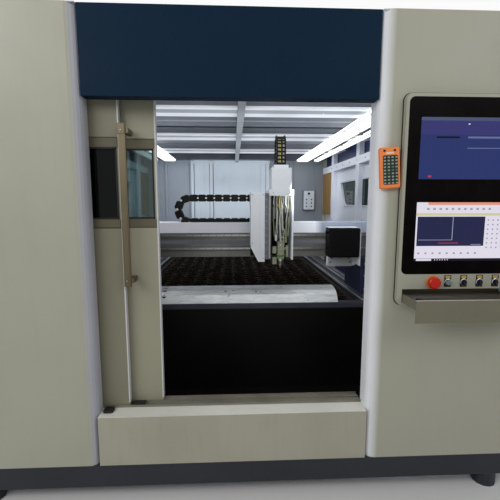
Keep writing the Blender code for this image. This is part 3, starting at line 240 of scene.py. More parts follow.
def make_grime():
    """Dust in soft clouds, upright streaks and a few specks."""
    group, ends, out = start_group(
        "grime",
        [("Clean", "NodeSocketColor", (0.8, 0.8, 0.8, 1.0)),
         ("Dirt", "NodeSocketColor", (0.2, 0.18, 0.15, 1.0)),
         ("Amount", "NodeSocketFloat", 0.3), ("Scale", "NodeSocketFloat", 3.0)],
        [("Color", "NodeSocketColor"), ("Mask", "NodeSocketFloat")])
    place = object_place(group)
    clouds = ramp(group, noise(group, place, ends["Scale"], 6.0), 0.42, 0.75)
    upright = noise(group, stretched_place(group, (9.0, 9.0, 0.9)), ends["Scale"], 4.0)
    streaks = ramp(group, upright, 0.55, 0.85)
    specks = ramp(group, noise(group, place, 90.0, 2.0), 0.70, 0.76)
    mask = arithmetic(group, "ADD", arithmetic(group, "MULTIPLY", clouds, 0.6),
                      arithmetic(group, "MULTIPLY", streaks, 0.5))
    mask = arithmetic(group, "ADD", mask, arithmetic(group, "MULTIPLY", specks, 0.35))
    mask = arithmetic(group, "MULTIPLY", mask, ends["Amount"])
    mask = arithmetic(group, "MINIMUM", mask, 1.0)
    fill(group, out, {"Color": blend_colour(group, mask, ends["Clean"], ends["Dirt"]), "Mask": mask})
    return group


def make_brushing():
    """Fine parallel lines of brushed or milled metal, along X, Y or Z by the stretch."""
    group, ends, out = start_group(
        "brushing",
        [("Stretch", "NodeSocketVector", (4.0, 300.0, 300.0)), ("Rough Low", "NodeSocketFloat", 0.28),
         ("Rough High", "NodeSocketFloat", 0.45), ("Strength", "NodeSocketFloat", 0.15)],
        [("Value", "NodeSocketFloat"), ("Roughness", "NodeSocketFloat"),
         ("Normal", "NodeSocketVector")])
    inputs = {0: object_place(group), 1: ends["Stretch"]}
    stretched = add_node(group, "VectorMath", inputs, operation="MULTIPLY").outputs["Vector"]
    lines = noise(group, stretched, 1.0, 4.0)
    shine = ramp(group, lines, 0.3, 0.7, ends["Rough Low"], ends["Rough High"])
    relief = bump(group, lines, 0.0004, ends["Strength"])
    fill(group, out, {"Value": lines, "Roughness": shine, "Normal": relief})
    return group


def make_edge_wear():
    """A mask that is one along sharp edges, broken up by noise."""
    group, ends, out = start_group(
        "edge_wear",
        [("Radius", "NodeSocketFloat", 0.004), ("Amount", "NodeSocketFloat", 0.6)],
        [("Mask", "NodeSocketFloat")])
    rounded = add_node(group, "Bevel", {"Radius": ends["Radius"]}, samples=4).outputs["Normal"]
    flat = add_node(group, "NewGeometry").outputs["Normal"]
    compare = add_node(group, "VectorMath", {0: rounded, 1: flat}, operation="DOT_PRODUCT").outputs["Value"]
    edge = ramp(group, compare, 0.995, 0.90)
    broken = ramp(group, noise(group, object_place(group), 60.0, 5.0), 0.42, 0.62)
    mask = arithmetic(group, "MULTIPLY", arithmetic(group, "MULTIPLY", edge, broken), ends["Amount"])
    fill(group, out, {"Mask": mask})
    return group


GRAIN = make_grain()
GRIME = make_grime()
BRUSHING = make_brushing()
EDGE_WEAR = make_edge_wear()
print("groups:", [g.name for g in bpy.data.node_groups])

# %% [markdown]
# ## Paints
# The cladding is powder coated: a dull sheen, a fine texture and a little dust. Each paint is one
# call with its colour, because only the amounts differ. Real colours are written as the photograph
# shows them under plain light, but the door leaves and the drawer are darker, with painted shade in
# their colours.


# %% Paint maker
def start_material(name, roughness=0.5, metallic=0.0, gloss=0.5):
    """A material with its Principled shader, and its node tree."""
    made = bpy.data.materials.new(name)
    made.use_nodes = True
    shader = made.node_tree.nodes["Principled BSDF"]
    fill(made.node_tree, shader, {"Roughness": roughness, "Metallic": metallic, "Specular IOR Level": gloss})
    return made, made.node_tree, shader


def place_group(tree, group, **values):
    """A shared effect in one material, with that material's own amounts."""
    made = add_node(tree, "Group", node_tree=group)
    fill(tree, made, {label.replace("_", " "): value for label, value in values.items()})
    return made.outputs


def add_grain(tree, shader, roughness, less, **values):
    """Orange peel on a shader, and a roughness that changes a little over its surface."""
    peel = place_group(tree, GRAIN, **values)
    uneven = ramp(tree, peel["Value"], 0.3, 0.7, roughness - less, roughness + 0.10)
    fill(tree, shader, {"Normal": peel["Normal"], "Roughness": uneven})


def paint(name, colour, roughness=0.45, grain=0.12, dirt=0.25, dirt_colour=srgb(96, 86, 70), scale=3.0,
          worn=0.0, under=srgb(120, 118, 112), gloss=0.4):
    """Powder coat with dust, and bare metal along the edges where it is worn."""
    made, tree, shader = start_material(name, roughness, 0.0, gloss)
    coat = place_group(tree, GRIME, Clean=colour, Dirt=dirt_colour, Amount=dirt, Scale=scale)["Color"]
    if worn:
        coat = blend_colour(tree, place_group(tree, EDGE_WEAR, Amount=worn)["Mask"], coat, under)
    fill(tree, shader, {"Base Color": coat})
    add_grain(tree, shader, roughness, 0.08, Strength=grain)
    return made


def metal(name, colour, stretch=(4.0, 300.0, 300.0), rough=(0.28, 0.45), strength=0.15, metallic=1.0,
          dirt=0.15, dirt_colour=srgb(50, 45, 40)):
    """Brushed or milled metal with a little grime."""
    made, tree, shader = start_material(name, rough[0], metallic)
    lines = place_group(tree, BRUSHING, Stretch=stretch, Rough_Low=rough[0], Rough_High=rough[1],
                        Strength=strength)
    dust = place_group(tree, GRIME, Clean=colour, Dirt=dirt_colour, Amount=dirt, Scale=6.0)["Color"]
    streaks = ramp(tree, lines["Value"], 0.35, 0.65, 0.0, 0.25)
    shade = blend_colour(tree, streaks, dust, darker(colour, 0.6))
    fill(tree, shader, {"Base Color": shade, "Roughness": lines["Roughness"], "Normal": lines["Normal"]})
    return made


SHELL_GREY = srgb(166, 165, 149)
shell = paint("shell_coat", SHELL_GREY, 0.44, 0.16, 0.16, srgb(112, 105, 86))
# The door leaves are one paint in two copies, both darkened by painted shade, the front leaf more.
front_leaf_painted_shade_coat = paint("front_leaf_painted_shade_coat", srgb(128, 125, 106), 0.46, 0.14, 0.20, srgb(92, 84, 66), gloss=0.3)
rear_leaf_painted_shade_coat = paint("rear_leaf_painted_shade_coat", srgb(150, 147, 127), 0.44, 0.14, 0.20, srgb(104, 94, 74), gloss=0.3)
leaf_band = paint("leaf_band_coat", srgb(94, 90, 71), 0.48, 0.14, 0.30, srgb(66, 60, 48), gloss=0.3)
# A pale strip of painted highlight, where a free edge catches the light.
painted_edge_highlight = paint("painted_edge_highlight_coat", srgb(200, 202, 202), 0.40, 0.10, 0.15)
blue = paint("fascia_coat", srgb(14, 36, 55), 0.55, 0.16, 0.10, srgb(34, 50, 64), gloss=0.06)
cabin = paint("cabin_coat", srgb(202, 207, 216), 0.40, 0.10, 0.22, srgb(110, 112, 120), 2.0)
cover = paint("cover_coat", srgb(226, 229, 234), 0.38, 0.10, 0.14, srgb(140, 138, 140), 6.0, 0.25)
grey_coat = paint("grey_coat", srgb(112, 116, 122), 0.45, 0.14, 0.30, srgb(60, 58, 56))
dark_coat = paint("dark_coat", srgb(46, 48, 54), 0.52, 0.18, 0.45, srgb(30, 26, 24), 5.0, 0.55,
                  srgb(118, 116, 112), 0.25)
black_coat = paint("black_coat", srgb(9, 9, 9), 0.50, 0.20, 0.35, srgb(32, 25, 20), 4.0, gloss=0.12)
# The drawer's paint is darkened by painted shade on its tilted front plate.
drawer_painted_shade_coat = paint("drawer_painted_shade_coat", srgb(116, 114, 95), 0.48, 0.16, 0.30, srgb(84, 76, 60), 5.0, 0.30,
                    srgb(176, 176, 168), 0.3)
leg_coat = paint("leg_coat", srgb(34, 40, 66), 0.5, 0.16, 0.3, srgb(30, 26, 24), 5.0, 0.4,
                 srgb(112, 112, 110), 0.25)
print("paints made")

# %% Metals
bar_metal = metal("handle_metal", srgb(108, 98, 76), (220.0, 220.0, 2.5), (0.30, 0.46), 0.12, 0.7, 0.35)
steel = metal("ground_steel", srgb(178, 180, 182), (220.0, 3.0, 220.0), (0.22, 0.40), 0.10)
milled = metal("milled_beam", srgb(126, 126, 122), (2.0, 160.0, 220.0), (0.38, 0.58), 0.25, 0.75, 0.55)
track_steel = metal("track_steel", srgb(146, 144, 132), (3.0, 260.0, 260.0), (0.34, 0.52), 0.20, 0.7, 0.5)
guide_metal = metal("guide_metal", srgb(120, 122, 126), (220.0, 3.0, 220.0), (0.30, 0.46), 0.10, 0.8, 0.4)
bracket_steel = metal("bracket_steel", srgb(196, 198, 198), (90.0, 4.0, 90.0), (0.34, 0.50), 0.12, 0.35, 0.3)
bright = metal("bright_metal", srgb(205, 207, 208), (90.0, 90.0, 90.0), (0.20, 0.34), 0.10)
head_metal = metal("head_metal", srgb(150, 154, 132), (120.0, 120.0, 5.0), (0.34, 0.50), 0.15, 0.6, 0.35)
copper = metal("nozzle_metal", srgb(158, 150, 124), (60.0, 60.0, 200.0), (0.25, 0.40), 0.10, 1.0, 0.4)
print("metals made")

# %% [markdown]
# ## Glass, rubber and lamps
# The panes are dark tinted plastic. A real pane transmits, so the shader does too, with a dark
# green tint. The lamp covers glow by themselves and light the inside of the cabin.


# %% Panes and lamps
def pane(name, colour, transmission, roughness=0.05, bending=1.45):
    """Tinted plastic that light passes, with a faint smear. Bending is its index of refraction."""
    made, tree, shader = start_material(name, roughness)
    smear = noise(tree, object_place(tree), 5.0, 5.0)
    fill(tree, shader, {"Base Color": colour, "Transmission Weight": transmission, "IOR": bending,
                        "Roughness": ramp(tree, smear, 0.4, 0.8, roughness, roughness + 0.08)})
    return made


def glow(name, colour, strength, body=0.004):
    """A surface that gives light of its own. A lamp's cover is pale, and a display is nearly black."""
    made, tree, shader = start_material(name, 0.5, 0.0, 0.0)
    soft = noise(tree, object_place(tree), 3.0, 2.0)
    shade = blend_colour(tree, ramp(tree, soft, 0.3, 0.7, 0.0, 0.12), colour, darker(colour, 0.85))
    fill(tree, shader, {"Base Color": (body, body, body, 1.0), "Emission Color": shade,
                        "Emission Strength": strength})
    return made


def moulded(name, colour, roughness=0.45, scale=300.0, strength=0.15, dirt=0.2, dirt_colour=srgb(90, 86, 78),
            gloss=0.3):
    """Moulded plastic or rubber with a fine grain and some dust."""
    made, tree, shader = start_material(name, roughness, 0.0, gloss)
    dust = place_group(tree, GRIME, Clean=colour, Dirt=dirt_colour, Amount=dirt, Scale=14.0)
    fill(tree, shader, {"Base Color": dust["Color"]})
    add_grain(tree, shader, roughness, 0.06, Scale=scale, Strength=strength)
    return made


tinted = pane("tinted_pane", srgb(96, 120, 118), 0.94, 0.015)
front_pane = pane("front_leaf_pane", srgb(20, 30, 27), 0.95, 0.012, 1.22)
side_pane = pane("side_pane", srgb(44, 56, 53), 0.75, 0.04)
screen_glass = moulded("black_glass", srgb(8, 5, 5), 0.20, 40.0, 0.01, 0.04, gloss=0.03)
lamp_glow = glow("lamp_glow", (0.97, 0.98, 0.96, 1.0), 1.5, 0.6)
chain_black = moulded("chain_plastic", srgb(13, 13, 14), 0.48, 300.0, 0.2, 0.2, gloss=0.2)
rubber = moulded("seal_rubber", srgb(20, 20, 20), 0.60)
pin_cream = moulded("pin_plastic", srgb(226, 220, 196), 0.40)
red_cap = moulded("stop_red", srgb(204, 34, 22), 0.28, 300.0, 0.03, 0.06)
amber_ring = moulded("stop_ring", srgb(224, 132, 40), 0.40)
orange_case = moulded("remote_case", srgb(250, 140, 74), 0.40, 300.0, 0.12, 0.12)
key_black = moulded("key_plastic", srgb(24, 24, 25), 0.40)
key_pale = moulded("key_legend", srgb(142, 158, 140), 0.45)
key_green = moulded("key_green", srgb(58, 128, 92), 0.45)
label_amber = moulded("label_amber", srgb(186, 152, 78), 0.45)
keyboard_brown = moulded("keyboard_plastic", srgb(78, 66, 50), 0.42, 200.0, 0.15, 0.3)
start_grey = moulded("start_cap", srgb(116, 132, 128), 0.35)
print("panes, lamps and plastics made")

# %% [markdown]
# ## Scorched slats and the loose sheet
# The support slats are plain steel, burnt and splashed with slag by each cut. A coarse and a fine
# noise together give the crust. The loose sheet on the front is bright, with grey smears from hands
# and metal dust.


# %% Crust and smears
def make_crust():
    """Burnt steel under slag, with the slats' upper tips painted paler as a painted highlight."""
    made, tree, shader = start_material("slag_crust", 0.8, 0.0, 0.12)
    place = object_place(tree)
    coarse = noise(tree, place, 34.0, 6.0, 0.6)
    fine = noise(tree, place, 150.0, 4.0)
    rust = blend_colour(tree, ramp(tree, coarse, 0.38, 0.66), srgb(14, 13, 12), srgb(48, 40, 34))
    shade = blend_colour(tree, ramp(tree, fine, 0.62, 0.74), rust, srgb(104, 100, 94))
    # The slats' upper tips are painted paler: a painted highlight where the light falls on them.
    painted_lit_tips = arithmetic(tree, "MULTIPLY", ramp(tree, place_of(tree)["Z"], 0.822, 0.837),
                      ramp(tree, coarse, 0.40, 0.55))
    shade = blend_colour(tree, painted_lit_tips, shade, srgb(96, 86, 74))
    fill(tree, shader, {"Base Color": shade, "Normal": bump(tree, coarse, 0.003, 0.8)})
    return made


def make_sheet_metal():
    """Bright sheet with long grey smears and a few dark spots."""
    made, tree, shader = start_material("smeared_sheet", 0.38, 0.55)
    smear = noise(tree, stretched_place(tree, (1.6, 7.0, 7.0)), 5.0, 8.0, 1.2)
    spots = noise(tree, object_place(tree), 26.0, 3.0)
    shade = blend_colour(tree, ramp(tree, smear, 0.40, 0.72), srgb(206, 209, 209), srgb(172, 176, 176))
    shade = blend_colour(tree, ramp(tree, spots, 0.70, 0.75), shade, srgb(60, 58, 54))
    fill(tree, shader, {"Base Color": shade, "Roughness": ramp(tree, smear, 0.3, 0.8, 0.30, 0.55),
                        "Normal": bump(tree, smear, 0.002, 0.25)})
    return made


crust = make_crust()
sheet_metal = make_sheet_metal()
print("crust and smears made")

# %% [markdown]
# ## Paint that changes with place
# Some solids are painted in two colours, and some carry painted light and shade by place. Inside, the
# cabin's outer sheet is blue over the upper rail and under the bed's height, and the posts before it
# stay white. The roof is grey, darker along the middle, with painted shade on its sheet and at the
# back. The rear wall has painted shade on its side bays. The columns have painted light on their
# inner faces and the step on its top, and the tray is darker towards its right end. Each is one
# solid, so the colour is chosen by place in X, Y or Z.


# %% Masks by place
def within(tree, value, low, high):
    """One where a value lies between two limits."""
    above = arithmetic(tree, "GREATER_THAN", value, low)
    return arithmetic(tree, "MULTIPLY", above, arithmetic(tree, "LESS_THAN", value, high))


def coat_by_place(name, base, zones, roughness=0.42, dirt=0.22, scale=2.5, gloss=0.35, grain=0.10):
    """A coat with one base colour, and another in each zone that a mask function marks."""
    made, tree, shader = start_material(name, roughness, 0.0, gloss)
    shade = base
    for mask, colour in zones:
        shade = blend_colour(tree, mask(tree), shade, colour)
    dust = place_group(tree, GRIME, Clean=shade, Dirt=srgb(104, 102, 98), Amount=dirt, Scale=scale)
    fill(tree, shader, {"Base Color": dust["Color"]})
    add_grain(tree, shader, roughness, 0.06, Strength=grain)
    return made


def over(axis, limit):
    """A mask function that is one where X, Y or Z is over a limit."""
    return lambda tree: arithmetic(tree, "GREATER_THAN", place_of(tree)[axis], limit)


def under(axis, limit):
    """A mask function that is one where X, Y or Z is under a limit."""
    return lambda tree: arithmetic(tree, "LESS_THAN", place_of(tree)[axis], limit)


def fade(axis, start, end):
    """A mask function that rises from zero at the start to one at the end."""
    return lambda tree: ramp(tree, place_of(tree)[axis], start, end)


print("place masks ready")


# %% Coats by place
# Half of the cabin's width, over its outer face, to its outer sheet and between its posts.
OUTSIDE = 1.5
SKIN = 1.45
INSIDE = 1.385


def outer_skin(tree):
    """One on the outer sheet of a side wall, and zero on the posts before it."""
    x = arithmetic(tree, "ABSOLUTE", place_of(tree)["X"])
    return arithmetic(tree, "GREATER_THAN", x, SKIN - 0.004)


def skin_zone(low, high):
    """A mask function for the outer sheet between two heights."""
    def mask(tree):
        return arithmetic(tree, "MULTIPLY", outer_skin(tree), within(tree, place_of(tree)["Z"], low, high))
    return mask


def outside_face(tree):
    """One on the faces that look out of the cabin."""
    x = arithmetic(tree, "ABSOLUTE", place_of(tree)["X"])
    rear = arithmetic(tree, "GREATER_THAN", place_of(tree)["Y"], 2.234)
    return arithmetic(tree, "MAXIMUM", arithmetic(tree, "GREATER_THAN", x, OUTSIDE - 0.015), rear)


def middle_seam(tree):
    """One along the middle of the roof."""
    return arithmetic(tree, "LESS_THAN", arithmetic(tree, "ABSOLUTE", place_of(tree)["X"]), 0.03)


wall = coat_by_place("cabin_wall", srgb(222, 226, 236), [
    (skin_zone(2.102, 2.4), srgb(22, 42, 92)), (skin_zone(0.0, 1.02), srgb(22, 34, 92)),
    (outside_face, SHELL_GREY)])
# The rear wall's side bays are painted darker grey: painted shade, strongest on the right.
rear_wall_painted_shade = coat_by_place("rear_wall_painted_shade", srgb(206, 217, 226), [
    (over("X", 0.53), srgb(128, 135, 143)), (under("X", -0.72), srgb(150, 160, 172)),
    (over("Y", 2.20), SHELL_GREY)])
# The roof's sheet above the lamps is painted darker, and its back end dark: painted shade.
ceiling = coat_by_place("ceiling_coat_with_painted_shade", srgb(148, 153, 166), [
    (lambda tree: within(tree, place_of(tree)["Z"], 2.0, 2.2995), srgb(150, 155, 166)),
    (over("Z", 2.3015), srgb(132, 137, 146)), (middle_seam, srgb(122, 126, 134)),
    (over("Y", 1.9), srgb(62, 66, 76))], 0.34, 0.35, 5.0)
strip_coat = paint("roof_channel_coat", srgb(244, 246, 250), 0.36, 0.08, 0.12, srgb(150, 152, 160), 4.0)
# The right column's inner face is painted blue-white: painted light from the cabin's lamps.
jamb_painted_light_coat = coat_by_place("right_column_painted_light_coat", SHELL_GREY, [
    (fade("X", 0.706, 0.650), srgb(240, 242, 246))], 0.44, 0.10, 3.0, 0.4, 0.16)
# The left column's rounded return is painted bluish grey: painted light from the cabin's lamps.
left_column_painted_light = coat_by_place("left_column_painted_light_coat", SHELL_GREY, [
    (fade("X", -0.806, -0.782), srgb(176, 176, 184))], 0.44, 0.16, 3.0, 0.4, 0.16)
tray_coat = coat_by_place("tray_coat", srgb(238, 240, 246), [
    (fade("X", 0.60, 0.66), srgb(150, 158, 176))], 0.44, 0.12, 3.0, 0.4, 0.2)
# The step's top is painted paler than its front: painted light from above.
step_painted_light_coat = coat_by_place("step_painted_light_coat", srgb(166, 163, 146), [
    (over("Z", 0.4655), srgb(222, 220, 210))], 0.5, 0.24, 4.0, 0.3, 0.3)
print("coats by place made")

# %% [markdown]
# ## Dressing the solids
# A solid whose form is right only needs its finish. A small bevel modifier softens the long edges
# of the thick parts, because a real edge always catches a line of light.

# %% Finishes of the solids
FINISHES = {
    left_column_painted_light: ["column_left"],
    shell: ["console_housing"],
    jamb_painted_light_coat: ["column_right"],
    step_painted_light_coat: ["sill"],
    drawer_painted_shade_coat: ["keyboard_drawer"],
    front_leaf_painted_shade_coat: ["door_leaf_front"],
    rear_leaf_painted_shade_coat: ["door_leaf_rear"],
    blue: ["header"],
    wall: ["side_wall_left", "side_wall_right"],
    rear_wall_painted_shade: ["back_wall"],
    ceiling: ["roof"],
    tray_coat: ["chain_tray"],
    cover: ["drive_cover_left", "drive_cover_right", "carriage_cover", "z_cover"],
    grey_coat: ["junction_box", "door_rail"],
    dark_coat: ["base_frame", "machine_bed"],
    black_coat: ["bed_front_panel", "drive_box_left", "drive_box_right", "carriage_plate", "z_slide"],
    bar_metal: ["door_handle"],
    track_steel: ["door_track"],
    guide_metal: ["guide_left", "guide_right"],
    steel: ["y_pinion_left", "y_pinion_right"],
    milled: ["gantry_beam"],
    leg_coat: ["gantry_leg_left", "gantry_leg_right"],
    head_metal: ["cutting_head"],
    copper: ["head_nozzle"],
    crust: ["slat_table"],
    sheet_metal: ["front_apron"],
    front_pane: ["door_leaf_front_glass"],
    tinted: ["door_leaf_rear_glass"],
    side_pane: ["side_wall_left_pane", "side_wall_right_pane"],
    lamp_glow: ["led_left", "led_right"],
    screen_glass: ["console_glass"],
    red_cap: ["estop_button"],
    start_grey: ["start_button"],
    key_black: ["selector_1", "selector_2", "selector_3", "keyboard"],
    orange_case: ["hand_remote"],
    chain_black: ["x_chain_lower", "x_chain_upper", "x_chain_loop", "z_chain", "hose_bundle"],
}
for finish, names in FINISHES.items():
    for name in names:
        nodes[name].data.materials.clear()
        nodes[name].data.materials.append(finish)
SOFT_EDGES = {"column_left": 0.002, "column_right": 0.002, "header": 0.002, "sill": 0.003,
              "console_housing": 0.004, "carriage_cover": 0.003, "z_cover": 0.003, "door_handle": 0.002}
for name, width in SOFT_EDGES.items():
    soften = nodes[name].modifiers.new("soft_edge", "BEVEL")
    soften.width = width
    soften.segments = 2
    soften.limit_method = "ANGLE"
    soften.angle_limit = math.radians(50)
print("finished", sum(len(v) for v in FINISHES.values()), "solids")

# %% [markdown]
# ## Mesh tools
# Small parts are collected in one bmesh and become one object: blocks, rods, bolts and tubes. That
# keeps the scene light and each helper short.


# %% Mesh tools
def add_block(mesh, low, high, index=0):
    """A box between two corners."""
    xs, ys, zs = zip(low, high)
    corners = [mesh.verts.new((x, y, z)) for x in xs for y in ys for z in zs]
    for face in ((0, 1, 3, 2), (4, 6, 7, 5), (0, 4, 5, 1), (2, 3, 7, 6), (0, 2, 6, 4), (1, 5, 7, 3)):
        made = mesh.faces.new([corners[i] for i in face])
        made.material_index = index


def ring_at(mesh, centre, turn, radius, sides, height=0.0):
    """A ring of corners across the direction that the turn gives."""
    ring = []
    for i in range(sides):
        angle = 2 * math.pi * i / sides
        spot = Vector((radius * math.cos(angle), radius * math.sin(angle), height))
        ring.append(mesh.verts.new(centre + turn @ spot))
    return ring


def skin_rings(mesh, rings, index):
    """The faces between rings, and a cap on both ends."""
    for low, high in zip(rings, rings[1:]):
        for i in range(len(low)):
            j = (i + 1) % len(low)
            mesh.faces.new((low[i], low[j], high[j], high[i])).material_index = index
    mesh.faces.new(rings[0][::-1]).material_index = index
    mesh.faces.new(rings[-1]).material_index = index


def add_rod(mesh, start, end, radius, sides=16, index=0, end_radius=None):
    """A round bar between two points, with its own radius at the end if that is given."""
    start, end = Vector(start), Vector(end)
    turn = (end - start).to_track_quat("Z", "Y")
    rings = [ring_at(mesh, start, turn, radius, sides),
             ring_at(mesh, end, turn, radius if end_radius is None else end_radius, sides)]
    skin_rings(mesh, rings, index)


def add_bolt(mesh, centre, direction, radius=0.005, index=0):
    """A socket-head bolt: a round head with a sunk middle, written as shares of the radius."""
    turn = Vector(direction).normalized().to_track_quat("Z", "Y")
    profile = ((1.0, 0.0), (1.0, 0.75), (0.85, 0.9), (0.5, 0.9), (0.45, 0.35))
    rings = [ring_at(mesh, Vector(centre), turn, radius * wide, 10, radius * tall) for wide, tall in profile]
    skin_rings(mesh, rings, index)


def add_tube(mesh, points, radius, sides=8, index=0):
    """A round tube along a smooth line through the points."""
    points = [Vector(p) for p in points]
    rings, side = [], None
    for i, spot in enumerate(points):
        along = (points[min(i + 1, len(points) - 1)] - points[max(i - 1, 0)]).normalized()
        if side is None:
            side = along.orthogonal().normalized()
        side = (side - along * side.dot(along)).normalized()
        other = along.cross(side)
        ring = []
        for k in range(sides):
            angle = 2 * math.pi * k / sides
            ring.append(mesh.verts.new(spot + (side * math.cos(angle) + other * math.sin(angle)) * radius))
        rings.append(ring)
    skin_rings(mesh, rings, index)


def smooth_line(points, steps=8):
    """A Catmull-Rom line through a few points."""
    spots = [Vector(p) for p in points]
    spots = [spots[0] * 2 - spots[1]] + spots + [spots[-1] * 2 - spots[-2]]
    line = []
    for a, b, c, d in zip(spots, spots[1:], spots[2:], spots[3:]):
        for i in range(steps):
            t = i / steps
            bend = (2 * a - 5 * b + 4 * c - d) * t * t + (3 * b - a - 3 * c + d) * t ** 3
            line.append(0.5 * (2 * b + (c - a) * t + bend))
    return line + [spots[-2]]


def round_corners(low, high, corner, size, steps):
    """The outline, in X and Z, of a rectangle whose corners are arcs. Size is the arcs' own radius."""
    middles = ((high[0] - corner, low[1] + corner, -90), (high[0] - corner, high[1] - corner, 0),
               (low[0] + corner, high[1] - corner, 90), (low[0] + corner, low[1] + corner, 180))
    spots = []
    for cx, cz, start in middles:
        for i in range(steps + 1):
            angle = math.radians(start + 90 * i / steps)
            spots.append((cx + size * math.cos(angle), cz + size * math.sin(angle)))
    return spots


def add_plate(mesh, low, high, corner, front_y, rear_y, index=0, steps=5):
    """A plate with round corners that faces the operator."""
    outline = round_corners(low, high, corner, corner, steps)
    near = [mesh.verts.new((x, front_y, z)) for x, z in outline]
    far = [mesh.verts.new((x, rear_y, z)) for x, z in outline]
    mesh.faces.new(near).material_index = index
    mesh.faces.new(far[::-1]).material_index = index
    for i in range(len(outline)):
        j = (i + 1) % len(outline)
        mesh.faces.new((near[i], far[i], far[j], near[j])).material_index = index


def add_rim(mesh, low, high, corner, width, near, far, index=0, steps=6):
    """A frame with round corners, such as a bead or a seal, that faces the operator."""
    loops = []
    for grow, y in ((0.0, far), (0.0, near), (width, near), (width, far)):
        outline = round_corners(low, high, corner, corner + grow, steps)
        loops.append([mesh.verts.new((x, y, z)) for x, z in outline])
    for first, second in zip(loops, loops[1:]):
        for i in range(len(first)):
            j = (i + 1) % len(first)
            mesh.faces.new((first[i], first[j], second[j], second[i])).material_index = index


def piece(name, mesh, finishes, body, slot=None, bevel=0.0, smooth=35):
    """Turn a bmesh into an object that rides on a body."""
    bmesh.ops.recalc_face_normals(mesh, faces=mesh.faces)
    data = bpy.data.meshes.new(name)
    mesh.to_mesh(data)
    mesh.free()
    made = bpy.data.objects.new(name, data)
    bpy.context.scene.collection.objects.link(made)
    for finish in finishes if isinstance(finishes, (list, tuple)) else [finishes]:
        data.materials.append(finish)
    data.shade_smooth()
    data.set_sharp_from_angle(angle=math.radians(smooth))
    if bevel:
        edge = made.modifiers.new("edge", "BEVEL")
        edge.width = bevel
        edge.segments = 2
        edge.limit_method = "ANGLE"
        edge.angle_limit = math.radians(40)
    if body:
        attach(made, body)
    return made


def slab(name, low, high, *rest):
    """One block as a piece of its own."""
    mesh = bmesh.new()
    add_block(mesh, low, high)
    return piece(name, mesh, *rest)


print("mesh tools ready")

# %% [markdown]
# ## The floor
# A plain pale floor carries the machine and takes its shadow. Soft patches make it a little darker
# here and there, because no floor is even.

# %% Floor
ground = bmesh.new()
add_block(ground, (-30.0, -30.0, -0.05), (30.0, 30.0, 0.0))
floor_finish, tree, shader = start_material("pale_floor", 0.7)
patches = ramp(tree, noise(tree, object_place(tree), 3.0, 4.0), 0.3, 0.7, 0.0, 0.2)
floor_colour = blend_colour(tree, patches, srgb(226, 226, 224), srgb(214, 214, 212))
fill(tree, shader, {"Base Color": floor_colour})
floor = piece("floor", ground, floor_finish, None)
print("floor laid")

# %% [markdown]
# ## Door leaves
# Each leaf has a folded band above and below its window, a black rubber seal round the pane and a
# pale strip of painted highlight on its free edge. The bands are only 3 mm proud, because the leaves
# pass each other.

# %% Door trims
# The lower and upper edge of both windows.
WINDOW = (1.478, 1.830)
for name, glass, body in (("front", "door_leaf_front", "door_front"),
                          ("rear", "door_leaf_rear", "door_rear")):
    low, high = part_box(glass)
    pane_low, pane_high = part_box(glass + "_glass")
    face = low.y
    bands = bmesh.new()
    for z0, z1 in ((WINDOW[1] + 0.002, WINDOW[1] + 0.047), (WINDOW[0] - 0.043, WINDOW[0] - 0.002)):
        add_block(bands, (low.x + 0.002, face - 0.003, z0), (high.x - 0.007, face, z1))
    piece("door_band_" + name, bands, leaf_band, body, "shell_paint", 0.001)
    seal = bmesh.new()
    for z0, z1 in ((WINDOW[0] - 0.001, WINDOW[0] + 0.007), (WINDOW[1] - 0.007, WINDOW[1] + 0.001)):
        add_block(seal, (pane_low.x, face - 0.0015, z0), (pane_high.x, face + 0.012, z1))
    for x0, x1 in ((pane_low.x - 0.001, pane_low.x + 0.007), (pane_high.x - 0.007, pane_high.x + 0.001)):
        add_block(seal, (x0, face - 0.0015, WINDOW[0]), (x1, face + 0.012, WINDOW[1]))
    for z in (WINDOW[0] - 0.0455, WINDOW[1] + 0.0490):
        add_block(seal, (low.x + 0.002, face - 0.001, z - 0.0015), (high.x - 0.007, face, z + 0.0015))
    piece("door_seal_" + name, seal, rubber, body, "hose")
    # A pale strip of painted highlight on each leaf's free edge.
    slab("door_painted_highlight_" + name, (high.x - 0.006, face - 0.001, low.z + 0.02),
         (high.x + 0.001, high.y + 0.001, high.z - 0.01), painted_edge_highlight, body, "cover_paint", 0.001)
print("two leaves trimmed")

# %% Handle caps and sill parts
low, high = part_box("door_handle")
caps = bmesh.new()
for z in (low.z + 0.032, high.z - 0.032):
    add_bolt(caps, (low.x + 0.007, low.y - 0.004, z), (0, -1, 0), 0.004)
piece("handle_screws", caps, steel, "door_rear", "bare_metal")
grip = bmesh.new()
add_block(grip, (low.x - 0.008, low.y - 0.002, low.z + 0.002),
          (low.x + 0.022, low.y + 0.005, high.z - 0.002))
add_block(grip, (low.x - 0.011, low.y - 0.004, high.z - 0.050),
          (low.x + 0.023, low.y + 0.006, high.z + 0.002))
piece("handle_grip", grip, bar_metal, "door_rear", "bare_metal", 0.002)

stop = bmesh.new()
add_plate(stop, (-0.747, 0.0), (-0.694, 0.05), 0.014, -0.006, 0.006)
bmesh.ops.rotate(stop, verts=stop.verts, cent=(0, 0, 0), matrix=Matrix.Rotation(math.radians(-90), 3, "X"))
bmesh.ops.translate(stop, verts=stop.verts, vec=(0.0, front + 0.036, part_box("sill")[1].z + 0.006))
piece("sill_stop", stop, rubber, "root", "hose", 0.002)

